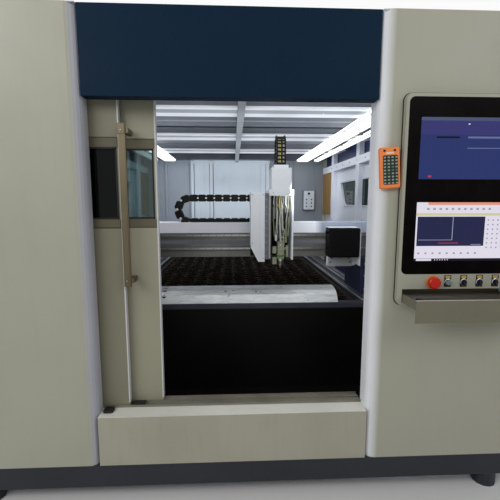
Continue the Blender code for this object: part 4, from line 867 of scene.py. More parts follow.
track_low, track_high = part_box("door_track")
leaf_low, leaf_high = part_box("door_leaf_front")
shoe = bmesh.new()
add_block(shoe, (leaf_high.x + 0.002, leaf_low.y + 0.001, track_low.z + 0.0045),
          (leaf_high.x + 0.045, leaf_high.y - 0.001, leaf_low.z + 0.010))
add_block(shoe, (leaf_high.x + 0.020, leaf_low.y + 0.001, leaf_low.z + 0.006),
          (leaf_high.x + 0.078, leaf_high.y - 0.001, leaf_low.z + 0.016))
piece("leaf_guide_shoe", shoe, rubber, "door_front", "hose", 0.002)
dots = bmesh.new()
for x in (-0.38, 0.12, 0.58):
    add_bolt(dots, (x, track_high.y + 0.006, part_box("sill")[1].z), (0, 0, 1), 0.0045)
piece("sill_screws", dots, rubber, "root", "bare_metal")
slab("floor_pan", (-INSIDE, front + 0.205, 0.2006), (INSIDE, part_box("bed_front_panel")[0].y - 0.001, 0.2036),
     black_coat, "root", "black_paint", 0.001)
print("handle and sill parts made")

# %% [markdown]
# ## The energy chain of the gantry
# The chain is a row of black links, each with two side plates and cross bars, and a pale pin at
# every joint. The lower run lies in the tray, turns over at the left and comes back to the carriage.
# One function makes a link at a place and an angle, and the three stretches only call it.


# %% X chain
PITCH = 0.066


def link_at(mesh, centre, angle, y0, y1, length=PITCH, height=0.056):
    """One link in the XZ plane: two side plates, with bars across between them."""
    along = Vector((math.cos(angle), 0.0, math.sin(angle)))
    up = Vector((-math.sin(angle), 0.0, math.cos(angle)))
    count = 12

    def outline(half_length, half_height, y):
        """A side plate's edge, a rectangle with cut corners."""
        ring = []
        for i in range(count):
            turn = 2 * math.pi * i / count
            u = max(-1.0, min(1.0, 1.35 * math.cos(turn))) * half_length
            v = max(-1.0, min(1.0, 1.35 * math.sin(turn))) * half_height
            ring.append(mesh.verts.new(Vector((centre[0], y, centre[1])) + along * u + up * v))
        return ring

    for a, b in ((y0, y0 + 0.006), (y1 - 0.006, y1)):
        near, far = outline(length / 2, height / 2, a), outline(length / 2, height / 2, b)
        mesh.faces.new(near)
        mesh.faces.new(far[::-1])
        for i in range(count):
            j = (i + 1) % count
            mesh.faces.new((near[i], far[i], far[j], near[j]))
    for v in (-1, 1):
        bar = Vector((centre[0], 0.0, centre[1])) + up * (v * (height / 2 - 0.003))
        for u in (-1, 1):
            spot = bar + along * (u * length * 0.2)
            add_rod(mesh, (spot.x, y0 + 0.005, spot.z), (spot.x, y1 - 0.005, spot.z), 0.003, 6)


def chain_piece(name, places, y0, y1, pins=True):
    """A row of links as one mesh, with the pins where the tray's edge doesn't hide them."""
    mesh = bmesh.new()
    for i, (x, z, angle) in enumerate(places):
        link_at(mesh, (x, z), angle, y0 - 0.0006 * (i % 2), y1)
    for x, z, angle in places if pins else ():
        pin_x, pin_z = x + PITCH / 2 * math.cos(angle), z + PITCH / 2 * math.sin(angle)
        add_rod(mesh, (pin_x, y0, pin_z), (pin_x, y0 - 0.0035, pin_z), 0.0082, 12, 1, 0.0070)
    return piece(name, mesh, [chain_black, pin_cream], None)


low_run, high_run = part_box("x_chain_lower"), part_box("x_chain_upper")
chain_front, chain_rear = low_run[0].y, low_run[1].y
loop_x = low_run[0].x
middle_low = (low_run[0].z + low_run[1].z) / 2 - 0.022
middle_high = (high_run[0].z + high_run[1].z) / 2
loop_middle = (middle_low + middle_high) / 2
loop_radius = (middle_high - middle_low) / 2

lower = [(loop_x + PITCH * (i + 0.5), middle_low, 0.0) for i in range(10)]
upper = [(loop_x + PITCH * (i + 0.5), middle_high, 0.0) for i in range(9)]
turns = []
for i in range(4):
    angle = math.radians(90 + 180 * (i + 0.5) / 4)
    turns.append((loop_x + loop_radius * math.cos(angle), loop_middle + loop_radius * math.sin(angle),
                  angle + math.pi / 2))
lower_piece = chain_piece("x_chain_lower_links", lower, chain_front, chain_rear, False)
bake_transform(lower_piece)
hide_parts("x_chain_lower")
upper_piece = chain_piece("x_chain_upper_links", upper, chain_front, chain_rear)
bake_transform(upper_piece)
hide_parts("x_chain_upper")
loop_piece = chain_piece("x_chain_turn_links", turns, chain_front, chain_rear)
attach(loop_piece, "chain_loop")
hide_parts("x_chain_loop")
print("links:", len(lower) + len(upper) + len(turns))

# %% [markdown]
# ## The upright chain of the lift
# The second chain stands over the lift cover as a narrow arch. It is seen end on, as rungs between
# two dark sides, with yellow and pale hoses between them. The rungs follow the arch of the solid.

# %% Lift chain
RUNG = 0.028
low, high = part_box("z_chain")
link_left = low.x + 0.013
thick = 0.040
arch_middle = (low.y + high.y) / 2
arch_radius = (high.y - low.y) / 2 - thick / 2
crown = high.z - arch_radius - thick / 2
rungs = int((crown - low.z) / RUNG)
arch = [(low.y + thick / 2, low.z + RUNG / 2 + RUNG * i) for i in range(rungs)]
for i in range(9):
    angle = math.radians(180 - 180 * (i + 0.5) / 9)
    arch.append((arch_middle + arch_radius * math.cos(angle), crown + arch_radius * math.sin(angle)))
arch += [(high.y - thick / 2, z) for y, z in arch[:rungs][::-1]]
lift = bmesh.new()
for y, z in arch:
    for x0, x1 in ((link_left, link_left + 0.008), (high.x - 0.009, high.x)):
        add_block(lift, (x0, y - 0.016, z - 0.0125), (x1, y + 0.016, z + 0.0125))
    for y0, y1 in ((y - 0.018, y - 0.014), (y + 0.014, y + 0.018)):
        add_block(lift, (link_left + 0.004, y0, z - 0.0055), (high.x - 0.004, y1, z + 0.0055))
lift_piece = piece("lift_chain_links", lift, chain_black, "carriage", "chain", 0.001)
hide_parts("z_chain")
yellow_hose = moulded("fibre_sleeve", srgb(226, 204, 96), 0.4, 300.0, 0.1, 0.3)
pale_hose = moulded("pale_hose", srgb(190, 192, 184), 0.4, 300.0, 0.1, 0.35)
olive_hose = moulded("olive_hose", srgb(132, 140, 112), 0.4, 300.0, 0.1, 0.4)
black_hose = moulded("black_hose", srgb(26, 26, 26), 0.4, 300.0, 0.1, 0.3)
inner = bmesh.new()
for x, index, radius in ((0.277, 1, 0.0055), (0.289, 0, 0.0060), (0.301, 2, 0.0050), (0.314, 1, 0.0065)):
    add_tube(inner, [(x, y, z) for y, z in arch], radius, 8, index)
piece("lift_chain_hoses", inner, [yellow_hose, pale_hose, black_hose], "carriage", "hose")
print("arch of", len(arch), "links")

# %% [markdown]
# ## Hoses to the cutting head
# Two dozen gas, water and signal lines come down from the lift cover and spread to the head. Seeded
# random offsets keep the bundle the same on every run.

# %% Head hoses
HEAD_X = 0.298
hoses = bmesh.new()
top_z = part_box("hose_bundle")[1].z
for i in range(24):
    x = 0.234 + 0.128 * (i % 12 + 0.4 * (i // 12)) / 11.4
    y = -1.122 + 0.05 * random.random() + 0.02 * (i // 12)
    low_x = HEAD_X + (x - HEAD_X) * random.uniform(0.55, 1.05)
    low_z = random.choice((1.44, 1.40, 1.36, 1.31, 1.27))
    low_y = -1.118 - 0.012 * random.random() if low_z < 1.42 else -1.09
    points = [(x, y, top_z), (x + random.uniform(-0.006, 0.006), y - 0.004, top_z - 0.06),
              (low_x + random.uniform(-0.012, 0.012), low_y - 0.004, (top_z + low_z) / 2),
              (low_x, low_y, low_z)]
    radius = random.choice((0.0034, 0.0044, 0.0055, 0.0064))
    add_tube(hoses, smooth_line(points, 8), radius, 8, random.choice((0, 0, 0, 1, 2, 3)))
for low_x, colour, end_z in ((0.286, 4, 1.43), (0.300, 0, 1.42)):
    points = [(low_x, -1.12, top_z), (low_x - 0.004, -1.127, 1.54), (low_x + 0.006, -1.122, 1.48),
              (low_x, -1.10, end_z)]
    add_tube(hoses, smooth_line(points, 8), 0.0058, 10, colour)
hose_piece = piece("head_hoses", hoses, [pale_hose, olive_hose, black_hose, head_metal, yellow_hose], None)
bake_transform(hose_piece)
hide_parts("hose_bundle")
print("hoses:", len(hose_piece.data.polygons), "faces")

# %% [markdown]
# ## The cutting head
# The head is a stack of machined blocks: collimator, focus housing, lens drawer and sensor, then the
# nozzle. The solid gives the envelope, and flanges, clamp rings, bolts and connectors sit on it.

# %% Head details
head = bmesh.new()
cx, cy = HEAD_X, -1.085
for z0, z1, half in ((1.325, 1.337, 0.033), (1.262, 1.270, 0.031), (1.205, 1.213, 0.033),
                     (1.170, 1.176, 0.031)):
    add_block(head, (cx - half, cy - half, z0), (cx + half, cy + half * 0.9, z1))
for z0, z1, r in ((1.337, 1.349, 0.027), (1.372, 1.380, 0.0255), (1.398, 1.406, 0.025)):
    add_rod(head, (cx, cy, z0), (cx, cy, z1), r, 24)
for z in (1.23, 1.30):
    for dx in (-0.018, 0.018):
        add_bolt(head, (cx + dx, cy - 0.026, z), (0, -1, 0), 0.0034, 1)
for z in (1.19, 1.245, 1.29):
    add_bolt(head, (cx + 0.026, cy - 0.008, z), (1, 0, 0), 0.0042, 1)
add_block(head, (cx - 0.020, cy - 0.031, 1.278), (cx + 0.012, cy - 0.0255, 1.296), 2)
add_rod(head, (cx - 0.004, cy - 0.0255, 1.245), (cx - 0.004, cy - 0.034, 1.245), 0.007, 16, 1)
add_rod(head, (cx - 0.030, cy, 1.225), (cx - 0.052, cy - 0.004, 1.225), 0.006, 12, 1)
add_rod(head, (cx + 0.026, cy, 1.215), (cx + 0.050, cy - 0.004, 1.222), 0.006, 12, 1)
for x0, y0, z0, x1, y1, z1, index in (
        (-0.064, -0.026, 1.180, -0.034, 0.012, 1.232, 0), (0.040, -0.018, 1.150, 0.058, 0.014, 1.240, 0),
        (-0.062, -0.012, 1.095, -0.029, 0.012, 1.150, 0), (-0.046, -0.030, 1.276, -0.030, 0.010, 1.322, 1),
        (0.030, -0.028, 1.262, 0.046, 0.010, 1.318, 0)):
    add_block(head, (cx + x0, cy + y0, z0), (cx + x1, cy + y1, z1), index)
for dx, z in ((-0.038, 1.340), (-0.024, 1.352), (0.026, 1.350), (0.040, 1.334), (0.012, 1.360)):
    add_rod(head, (cx + dx, cy - 0.020, z - 0.018), (cx + dx, cy - 0.020, z + 0.014), 0.0062, 12, 1)
    add_rod(head, (cx + dx, cy - 0.020, z - 0.004), (cx + dx, cy - 0.020, z + 0.003), 0.0078, 6, 1)
piece("head_fittings", head, [head_metal, bright, black_coat, cover], "head", "head_metal", 0.0012)
ring = bmesh.new()
green_ring = moulded("seal_green", srgb(70, 128, 48), 0.4, 300.0, 0.1, 0.2)
add_rod(ring, (cx, cy, 1.153), (cx, cy, 1.167), 0.0325, 28)
add_rod(ring, (cx, cy, 1.353), (cx, cy, 1.357), 0.0262, 28)
piece("head_green_rings", ring, green_ring, "head", "hose", 0.001)
cone = bmesh.new()
add_rod(cone, (cx, cy, 1.136), (cx, cy, 1.120), 0.024, 24, 0, 0.024)
add_rod(cone, (cx, cy, 1.112), (cx, cy, 1.104), 0.0225, 24, 1, 0.0205)
piece("nozzle_collar", cone, [bright, copper], "head", "nozzle_metal", 0.001)
print("head dressed")

# %% [markdown]
# ## Lift frame and covers
# Between the left cover and the hoses stands the lift's guide plate with its rows of screws. The
# white covers have a folded return and visible screws. All of it rides on the carriage.

# %% Lift frame
lift_frame = bmesh.new()
cover_low, cover_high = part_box("carriage_cover")
z_low, z_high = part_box("z_cover")
plate_x0, plate_x1 = cover_high.x + 0.002, z_low.x + 0.018
add_block(lift_frame, (plate_x0, cover_low.y + 0.012, 1.140), (plate_x0 + 0.030, cover_high.y, 1.630), 0)
add_block(lift_frame, (plate_x0 + 0.032, cover_low.y + 0.022, 1.142), (plate_x1, cover_high.y, 1.610), 1)
add_block(lift_frame, (plate_x1 - 0.004, cover_low.y + 0.008, 1.142), (plate_x1, cover_high.y, 1.606), 2)
for i in range(9):
    add_bolt(lift_frame, (plate_x0 + 0.009, cover_low.y + 0.012, 1.165 + 0.052 * i), (0, -1, 0), 0.0038, 1)
    add_bolt(lift_frame, (plate_x0 + 0.022, cover_low.y + 0.012, 1.190 + 0.052 * i), (0, -1, 0), 0.0030, 2)
rust_strip = moulded("guide_strip", srgb(92, 58, 52), 0.5, 200.0, 0.2, 0.3)
piece("lift_guides", lift_frame, [grey_coat, steel, rust_strip], "carriage", "grey_paint", 0.001)

slab("lift_backing", (0.232, -1.0, 1.530), (0.370, -0.985, 1.612),
     black_coat, "carriage", "black_paint", 0.001)

screws = bmesh.new()
for x, z in ((0.082, 1.618), (0.160, 1.618), (0.082, 1.262), (0.160, 1.150)):
    add_bolt(screws, (x, cover_low.y, z), (0, -1, 0), 0.0042)
for x in (z_low.x + 0.030, z_high.x - 0.030):
    add_bolt(screws, (x, z_low.y, 1.632), (0, -1, 0), 0.0036)
piece("cover_screws", screws, steel, "carriage", "bare_metal")
slab("cover_fold", (0.137, cover_low.y - 0.0035, 1.180), (0.172, cover_low.y, 1.530),
     cover, "carriage", "cover_paint", 0.0025)
print("covers dressed")

# %% [markdown]
# ## Beam and drive details
# The beam is milled, with a linear guide on each rib, a row of screws, and a scale strip. The drive
# boxes are black, each on a ground steel bracket with its bolts, and small guide rollers on the side.

# %% Beam
beam_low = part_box("gantry_beam")[0]
strips = bmesh.new()
for z in (1.197, 1.302):
    add_block(strips, (-1.11, beam_low.y - 0.0012, z - 0.006), (1.11, beam_low.y, z + 0.006), 0)
for i in range(36):
    x = -1.08 + 0.0617 * i
    add_bolt(strips, (x, beam_low.y - 0.001, 1.197), (0, -1, 0), 0.0032, 1)
    add_bolt(strips, (x + 0.02, beam_low.y - 0.001, 1.302), (0, -1, 0), 0.0032, 1)
add_block(strips, (-1.11, -0.9125, 1.232), (1.11, -0.910, 1.262), 2)
piece("beam_guides", strips, [steel, chain_black, grey_coat], "gantry", "bare_metal")

for side, tag in ((-1, "left"), (1, "right")):
    box_low, box_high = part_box("drive_box_" + tag)
    fittings = bmesh.new()
    left_gap, right_gap = (0.020, 0.028) if side > 0 else (0.028, 0.020)
    x0, x1 = box_low.x + left_gap, box_high.x - right_gap
    face = box_high.y - 0.026
    add_block(fittings, (x0, face, 1.052), (x1, face + 0.0135, 1.134), 0)
    for x, z in ((x0 + 0.03, 1.118), (x0 + 0.100, 1.122), (x1 - 0.03, 1.118), (x0 + 0.018, 1.086),
                 (x1 - 0.018, 1.084)):
        add_bolt(fittings, (x, face, z), (0, -1, 0), 0.0055, 1)
    inner_x = box_low.x if side > 0 else box_high.x
    for z, r in ((1.335, 0.014), (1.215, 0.012)):
        add_rod(fittings, (inner_x - side * 0.002, box_low.y + 0.03, z),
                (inner_x - side * 0.022, box_low.y + 0.03, z), r, 16, 2)
    for x in (box_low.x + 0.03, box_high.x - 0.03):
        for z in (box_low.z + 0.025, box_high.z - 0.025):
            add_bolt(fittings, (x, box_low.y, z), (0, -1, 0), 0.004, 2)
    piece("drive_fittings_" + tag, fittings, [bracket_steel, chain_black, black_coat], "gantry",
          "bare_metal", 0.001)
    leg_low, leg_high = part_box("gantry_leg_" + tag)
    leg_bolts = bmesh.new()
    for x in (leg_low.x + 0.03, leg_high.x - 0.03):
        for z in (leg_low.z + 0.04, leg_high.z - 0.05, (leg_low.z + leg_high.z) / 2):
            add_bolt(leg_bolts, (x, leg_low.y, z), (0, -1, 0), 0.007)
            add_bolt(leg_bolts, (x, leg_high.y, z), (0, 1, 0), 0.007)
    piece("leg_bolts_" + tag, leg_bolts, steel, "gantry", "bare_metal")
print("beam and drives dressed")

# %% [markdown]
# ## Bed and loose sheet
# The front of the bed is a blue-grey bar over a black panel. The bright sheet over it has five
# drop-shaped slots near its left end, drawn as flat dark patches of painted shade, and a few dark
# scorch marks. The marks lie on the curved sheet, so a ray is cast down on its mesh for the height of
# every corner.

# %% Bed front
apron_low, apron_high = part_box("front_apron")
bed_low, bed_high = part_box("machine_bed")
bar_coat = paint("bar_coat", srgb(62, 65, 74), 0.42, 0.16, 0.6, srgb(34, 34, 38), 7.0, 0.5, gloss=0.2)
slab("bed_front_bar", (bed_low.x + 0.004, bed_low.y - 0.004, 0.803), (bed_high.x - 0.004, bed_low.y, 0.837),
     bar_coat, "root", "bed_paint", 0.002)

apron_mesh = nodes["front_apron"].data
apron_tree = BVHTree.FromPolygons([v.co for v in apron_mesh.vertices],
                                  [tuple(p.vertices) for p in apron_mesh.polygons])


def on_apron(x, y):
    """The point of the sheet's upper face over x and y."""
    hit = apron_tree.ray_cast(Vector((x, y, 2.0)), Vector((0.0, 0.0, -1.0)))[0]
    return Vector((x, y, (hit.z if hit else apron_high.z) + 0.0007))


marks = bmesh.new()
# The five slots are flat dark patches on the sheet: painted shade where the holes would show the dark below.
for i in range(5):
    y = apron_low.y + 0.035 + 0.047 * i
    spots = []
    for k in range(10):
        angle = 2 * math.pi * k / 10
        px = -0.566 + 0.020 * math.cos(angle) * (1.0 if math.cos(angle) > 0 else 1.3)
        py = y + 0.011 * math.sin(angle) * (1.0 if math.cos(angle) > 0 else 0.6)
        spots.append(marks.verts.new(on_apron(px, py)))
    marks.faces.new(spots)
random.seed(11)
for px, py in ((-0.12, -1.20), (-0.06, -1.19), (-0.095, -1.235), (0.14, -1.21), (0.30, -1.14), (0.02, -1.12)):
    spots = []
    size = random.uniform(0.004, 0.009)
    for k in range(7):
        angle = 2 * math.pi * k / 7
        r = size * random.uniform(0.5, 1.3)
        x, y = px + 1.6 * r * math.cos(angle), py + r * math.sin(angle)
        spots.append(marks.verts.new(on_apron(x, y)))
    marks.faces.new(spots)
piece("apron_slot_shade_and_marks", marks, rubber, "root", "hose")
grooves = bmesh.new()
top = bed_high.z - 0.04 + 0.0006
for side in (-1, 1):
    for x, index in ((0.955, 0), (1.030, 1), (1.082, 0), (1.118, 1)):
        add_block(grooves, (side * x - 0.005, bed_low.y + 0.06, top - 0.001),
                  (side * x + 0.005, bed_high.y - 0.02, top + 0.0025), index)
piece("bed_edge_lines", grooves, [bracket_steel, black_coat], "root", "bare_metal")
print("bed front dressed")

# %% [markdown]
# ## Inside the cabin
# Pressed posts divide the rear wall, under a dark cornice. Each side has a second, narrow lamp, an
# amber screen in its far bay and dark screws along its rail. The junction box has cable glands.

# %% Rear wall
back_low, back_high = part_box("back_wall")
recess = back_low.y + 0.015
posts = bmesh.new()
for x0, x1 in ((-1.13, -1.09), (-0.745, -0.681), (-0.427, -0.379), (0.470, 0.518), (0.85, 0.90)):
    add_block(posts, (x0, back_low.y - 0.012, 0.34), (x1, recess, 2.222))
piece("wall_posts", posts, rear_wall_painted_shade, "root", "wall_paint", 0.003)
seams = bmesh.new()
for x in (-0.750, -0.676, -0.432, -0.374, 0.465, 0.523, 0.905):
    add_block(seams, (x - 0.0035, back_low.y - 0.002, 0.34), (x + 0.0035, recess, 2.17))
piece("wall_seams", seams, grey_coat, "root", "grey_paint")
cornice_coat = paint("cornice_coat", srgb(58, 62, 71), 0.5, 0.1, 0.4, gloss=0.2)
slab("wall_cornice", (-INSIDE, back_low.y - 0.05, 2.225), (INSIDE, back_low.y, 2.29),
     cornice_coat, "root", "grey_paint", 0.004)

box_low, box_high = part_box("junction_box")
glands = bmesh.new()
for i in range(3):
    for x in (box_low.x + 0.055, box_high.x - 0.055):
        add_rod(glands, (x, box_low.y, box_low.z + 0.06 + 0.055 * i),
                (x, box_low.y - 0.012, box_low.z + 0.06 + 0.055 * i), 0.011, 14)
add_rod(glands, (box_low.x + 0.09, box_low.y, box_high.z - 0.055),
        (box_low.x + 0.09, box_low.y - 0.03, box_high.z - 0.055), 0.018, 16)
piece("box_glands", glands, rubber, "root", "hose", 0.001)
lid = bmesh.new()
add_plate(lid, (box_low.x + 0.012, box_low.z + 0.012), (box_high.x - 0.012, box_high.z - 0.012), 0.01,
          box_low.y - 0.003, box_low.y)
piece("box_lid", lid, cabin, "root", "wall_paint", 0.001)
print("rear wall dressed")

# %% [markdown]
# ## Roof channels
# Flat white channels hang under the roof's cross beams and catch the light of the lamps, so the
# ceiling shows bright stripes between grey fields. Each is a shallow folded strip with turned edges.

# %% Roof channels
channels = bmesh.new()
for y0, y1 in ((-1.398, -1.335), (-1.158, -0.883), (-0.113, 0.210), (0.93, 1.26)):
    add_block(channels, (-INSIDE, y0, 2.2210), (INSIDE, y1, 2.2240))
    for y in (y0, y1 - 0.003):
        add_block(channels, (-INSIDE, y, 2.2240), (INSIDE, y + 0.003, 2.2360))
for x in (-0.62, 0.62):
    for y in (-1.02, 0.05, 1.10):
        add_bolt(channels, (x, y, 2.2210), (0, 0, -1), 0.005)
piece("roof_channels", channels, strip_coat, "root", "wall_paint", 0.001)
print("roof channels hung")

# %% Side walls inside
amber = moulded("amber_screen", srgb(150, 116, 62), 0.35, 60.0, 0.1, 0.5, srgb(96, 72, 40))
for side, tag in ((-1, "left"), (1, "right")):
    x0, x1 = sorted((side * 1.20, side * 1.265))
    lamp_low, lamp_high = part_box("led_" + tag)
    slab("narrow_lamp_" + tag, (x0, lamp_low.y, lamp_high.z - 0.028), (x1, lamp_high.y, lamp_high.z),
         lamp_glow, "root", "lamp_lens", 0.002)
    frames = bmesh.new()
    for edge in (lamp_low.x, lamp_high.x - 0.008, x0, x1 - 0.006):
        add_block(frames, (edge, lamp_low.y, lamp_low.z - 0.002),
                  (edge + 0.008, lamp_high.y, lamp_low.z + 0.006))
    for i in range(4):
        y = lamp_low.y + (lamp_high.y - lamp_low.y) * i / 3 - 0.012
        add_block(frames, (lamp_low.x, y, lamp_low.z - 0.003), (lamp_high.x, y + 0.024, lamp_low.z + 0.004))
        add_block(frames, (x0, y, lamp_low.z - 0.001), (x1, y + 0.024, lamp_low.z + 0.004))
    piece("lamp_frames_" + tag, frames, cabin, "root", "wall_paint", 0.001)
    holders = bmesh.new()
    for i in range(6):
        y = -1.55 + 0.66 * i
        x0, x1 = sorted((side * 1.105, side * 1.29))
        add_block(holders, (x0, y, lamp_high.z - 0.012), (x1, y + 0.03, lamp_high.z - 0.002))
    piece("lamp_holders_" + tag, holders, grey_coat, "root", "grey_paint", 0.001)
    rail_screws = bmesh.new()
    for i in range(14):
        add_bolt(rail_screws, (side * 1.39, -1.75 + 0.28 * i, 2.055), (-side, 0, 0), 0.006)
    piece("rail_screws_" + tag, rail_screws, rubber, "root", "bare_metal")
    frame_strips = bmesh.new()
    x0, x1 = sorted((side * SKIN, side * (SKIN - 0.006)))
    for z0, z1 in ((1.832, 1.850), (1.510, 1.528)):
        add_block(frame_strips, (x0, -0.56 if z0 < 1.6 else -0.75, z0), (x1, 1.14 if z0 < 1.6 else 1.335, z1))
    piece("window_frame_" + tag, frame_strips, cabin, "root", "wall_paint", 0.001)
    far_bay = bmesh.new()
    x0, x1 = sorted((side * 1.394, side * (SKIN - 0.0005)))
    for i in range(6):
        y = 1.6165 + 0.0865 * i
        add_block(far_bay, (x0 + 0.002 * (i % 2), y, 1.385), (x1 - 0.002 * (i % 2), y + 0.085, 2.005))
    piece("amber_screen_" + tag, far_bay, amber, "root", "wall_paint", 0.002)
print("side walls dressed")

# %% [markdown]
# ## The console
# Two displays lie behind one black glass. What they show is drawn as plain fields of light with no
# words: a dark blue picture above, and a drawing program below with its title strip, canvas and
# side panel. Each field is a thin plate in front of the last, and glows by itself.

# %% Displays
SCREEN_LIGHT = {}
for name, colour in (("navy", (46, 56, 106)), ("violet", (58, 58, 112)), ("pale", (224, 219, 232)),
                     ("bar", (104, 110, 150)), ("title", (224, 150, 132)), ("lime", (206, 202, 158)),
                     ("canvas", (40, 42, 74)), ("line", (166, 166, 192)), ("dark", (26, 26, 38)),
                     ("grey", (158, 154, 172)), ("red", (176, 66, 80))):
    SCREEN_LIGHT[name] = glow("light_" + name, srgb(*colour), 1.0)


def draw_fields(name, node, fields):
    """Plates at shares of a display's width and height, each a little in front of the last."""
    low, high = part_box(node)
    mesh = bmesh.new()
    finishes = []
    for left, right, bottom, top, colour, layer in fields:
        if colour not in finishes:
            finishes.append(colour)
        x0, x1 = low.x + (high.x - low.x) * left, low.x + (high.x - low.x) * right
        z0, z1 = low.z + (high.z - low.z) * bottom, low.z + (high.z - low.z) * top
        near = low.y - 0.0002 - 0.00015 * layer
        add_block(mesh, (x0, near, z0), (x1, low.y, z1), finishes.index(colour))
    return piece(name, mesh, [SCREEN_LIGHT[c] for c in finishes], "root", "screen_navy")


def row_of(count, start, step, width, bottom, top, colour, layer):
    """Equal fields side by side."""
    return [(start + step * i, start + width + step * i, bottom, top, colour, layer) for i in range(count)]


picture = [
    (0.0, 1.0, 0.0, 0.945, "navy", 0), (0.0, 1.0, 0.72, 0.945, "violet", 1),
    (0.15, 0.37, 0.665, 0.695, "dark", 2), (0.45, 0.95, 0.665, 0.695, "bar", 2),
    (0.45, 0.95, 0.500, 0.514, "bar", 2), (0.445, 0.462, 0.885, 0.902, "pale", 2),
    (0.090, 0.120, 0.030, 0.062, "red", 1)]
program = [
    (0.0, 1.0, 0.0, 1.0, "pale", 0), (0.11, 1.0, 0.955, 1.0, "title", 1), (0.0, 1.0, 0.776, 0.818, "lime", 1),
    (0.015, 0.676, 0.26, 0.76, "canvas", 1), (0.030, 0.361, 0.360, 0.367, "line", 2),
    (0.358, 0.364, 0.364, 0.76, "line", 2), (0.227, 0.425, 0.304, 0.316, "red", 2),
    (0.55, 0.65, 0.281, 0.289, "line", 2), (0.0, 1.0, 0.0, 0.045, "dark", 1),
    (0.02, 0.17, 0.005, 0.04, "pale", 2)]
program += row_of(11, 0.10, 0.060, 0.025, 0.872, 0.905, "grey", 1)
for i in range(7):
    program += row_of(6, 0.70, 0.048, 0.015, 0.22 + 0.078 * i, 0.245 + 0.078 * i, "grey", 1)
program += row_of(9, 0.03, 0.07, 0.02, 0.12, 0.15, "grey", 1)
program += row_of(6, 0.20, 0.025, 0.01, 0.015, 0.03, "pale", 2)
draw_fields("upper_picture", "upper_screen", picture)
draw_fields("lower_picture", "lower_screen", program)
print("displays drawn with", len(picture) + len(program), "fields")

# %% Controls
housing_low, housing_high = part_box("console_housing")
face = housing_low.y
control_z = (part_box("start_button")[0].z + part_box("start_button")[1].z) / 2
controls = bmesh.new()
for name in ("start_button", "selector_1", "selector_2", "selector_3"):
    low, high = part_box(name)
    x = (low.x + high.x) / 2
    add_plate(controls, (x - 0.0175, control_z - 0.024), (x + 0.0175, control_z + 0.036), 0.003,
              face - 0.0012, face, 0)
    add_plate(controls, (x - 0.0125, control_z + 0.0195), (x + 0.0125, control_z + 0.033), 0.001,
              face - 0.0020, face, 1)
    for k in range(24):
        a, b = 2 * math.pi * k / 24, 2 * math.pi * (k + 1) / 24
        ring = []
        for radius, depth in ((0.0175, 0.0012), (0.0175, 0.0052), (0.0158, 0.0060), (0.0158, 0.0012)):
            for angle in (a, b):
                spot = (x + radius * math.cos(angle), face - depth, control_z + radius * math.sin(angle))
                ring.append(controls.verts.new(spot))
        for p in range(3):
            made = controls.faces.new((ring[2 * p], ring[2 * p + 1], ring[2 * p + 3], ring[2 * p + 2]))
            made.material_index = 2
piece("control_plates", controls, [key_black, label_amber, bright], "root", "knob")
stop_low, stop_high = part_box("estop_button")
stop_x = (stop_low.x + stop_high.x) / 2
stop_ring = bmesh.new()
add_rod(stop_ring, (stop_x, face, control_z), (stop_x, face - 0.003, control_z), 0.0345, 32)
piece("stop_ring", stop_ring, amber_ring, "root", "remote_case", 0.0008)
rims = bmesh.new()
add_rim(rims, (housing_low.x, housing_low.z), (housing_high.x, housing_high.z), 0.035, 0.0035,
        front - 0.004, front - 0.0004, 0)
add_rim(rims, (housing_low.x + 0.004, housing_low.z + 0.004),
        (housing_high.x - 0.004, housing_high.z - 0.004), 0.031, 0.0035,
        face - 0.0022, face, 1)
for vert in rims.verts:
    if vert.co.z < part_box("keyboard_drawer")[1].z and vert.co.y < face:
        vert.co.y = face - 0.0001
piece("console_rims", rims, [rubber, shell], "root", "hose")
print("controls dressed")

# %% Drawer and keyboard
key_low, key_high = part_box("keyboard")
keys = bmesh.new()
ROWS, COLUMNS = 5, 19
for row in range(ROWS):
    for column in range(COLUMNS):
        x = key_low.x + 0.012 + 0.0221 * column
        y = key_low.y + 0.012 + 0.0210 * row
        add_block(keys, (x, y, key_high.z - 0.001), (x + 0.018, y + 0.017, key_high.z + 0.004))
piece("keyboard_keys", keys, keyboard_brown, "drawer", "keyboard", 0.0015)
mouse = bmesh.new()
bmesh.ops.create_uvsphere(mouse, u_segments=24, v_segments=12, radius=0.03)
bmesh.ops.scale(mouse, vec=(1.0, 1.75, 0.85), verts=mouse.verts)
floor_z = key_low.z - 0.0033
for vert in mouse.verts:
    vert.co.z = max(vert.co.z, -0.004)
bmesh.ops.translate(mouse, vec=(1.355, key_low.y + 0.07, floor_z + 0.0082), verts=mouse.verts)
piece("mouse", mouse, key_black, "drawer", "keyboard")
drawer_low, drawer_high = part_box("keyboard_drawer")
# A dark navy plate in the slot above the drawer: painted shade in the recess.
slot_painted_shade_coat = paint("slot_painted_shade_coat", srgb(34, 38, 66), 0.5, 0.1, 0.4, srgb(20, 20, 26), gloss=0.2)
slab("slot_painted_shade_plate", (drawer_low.x + 0.004, front + 0.055, drawer_high.z + 0.003),
     (drawer_high.x - 0.004, front + 0.058, drawer_high.z + 0.05), slot_painted_shade_coat, "root", "blue_paint")
mat_brown = moulded("tray_mat", srgb(84, 76, 62), 0.45, 120.0, 0.3, 0.6, srgb(52, 44, 34))
slab("tray_mat", (drawer_low.x + 0.006, front - 0.155, floor_z + 0.0033),
     (drawer_high.x - 0.006, front + 0.14, floor_z + 0.0043), mat_brown, "drawer", "keyboard")
rails = bmesh.new()
for x in (drawer_low.x + 0.0045, drawer_high.x - 0.0125):
    add_block(rails, (x, front - 0.150, floor_z + 0.012), (x + 0.008, front + 0.14, floor_z + 0.034), 0)
    for i in range(6):
        add_bolt(rails, (x + (0.008 if x < 1.0 else 0.0), front - 0.13 + 0.045 * i, floor_z + 0.023),
                 (1 if x < 1.0 else -1, 0, 0), 0.004, 1)
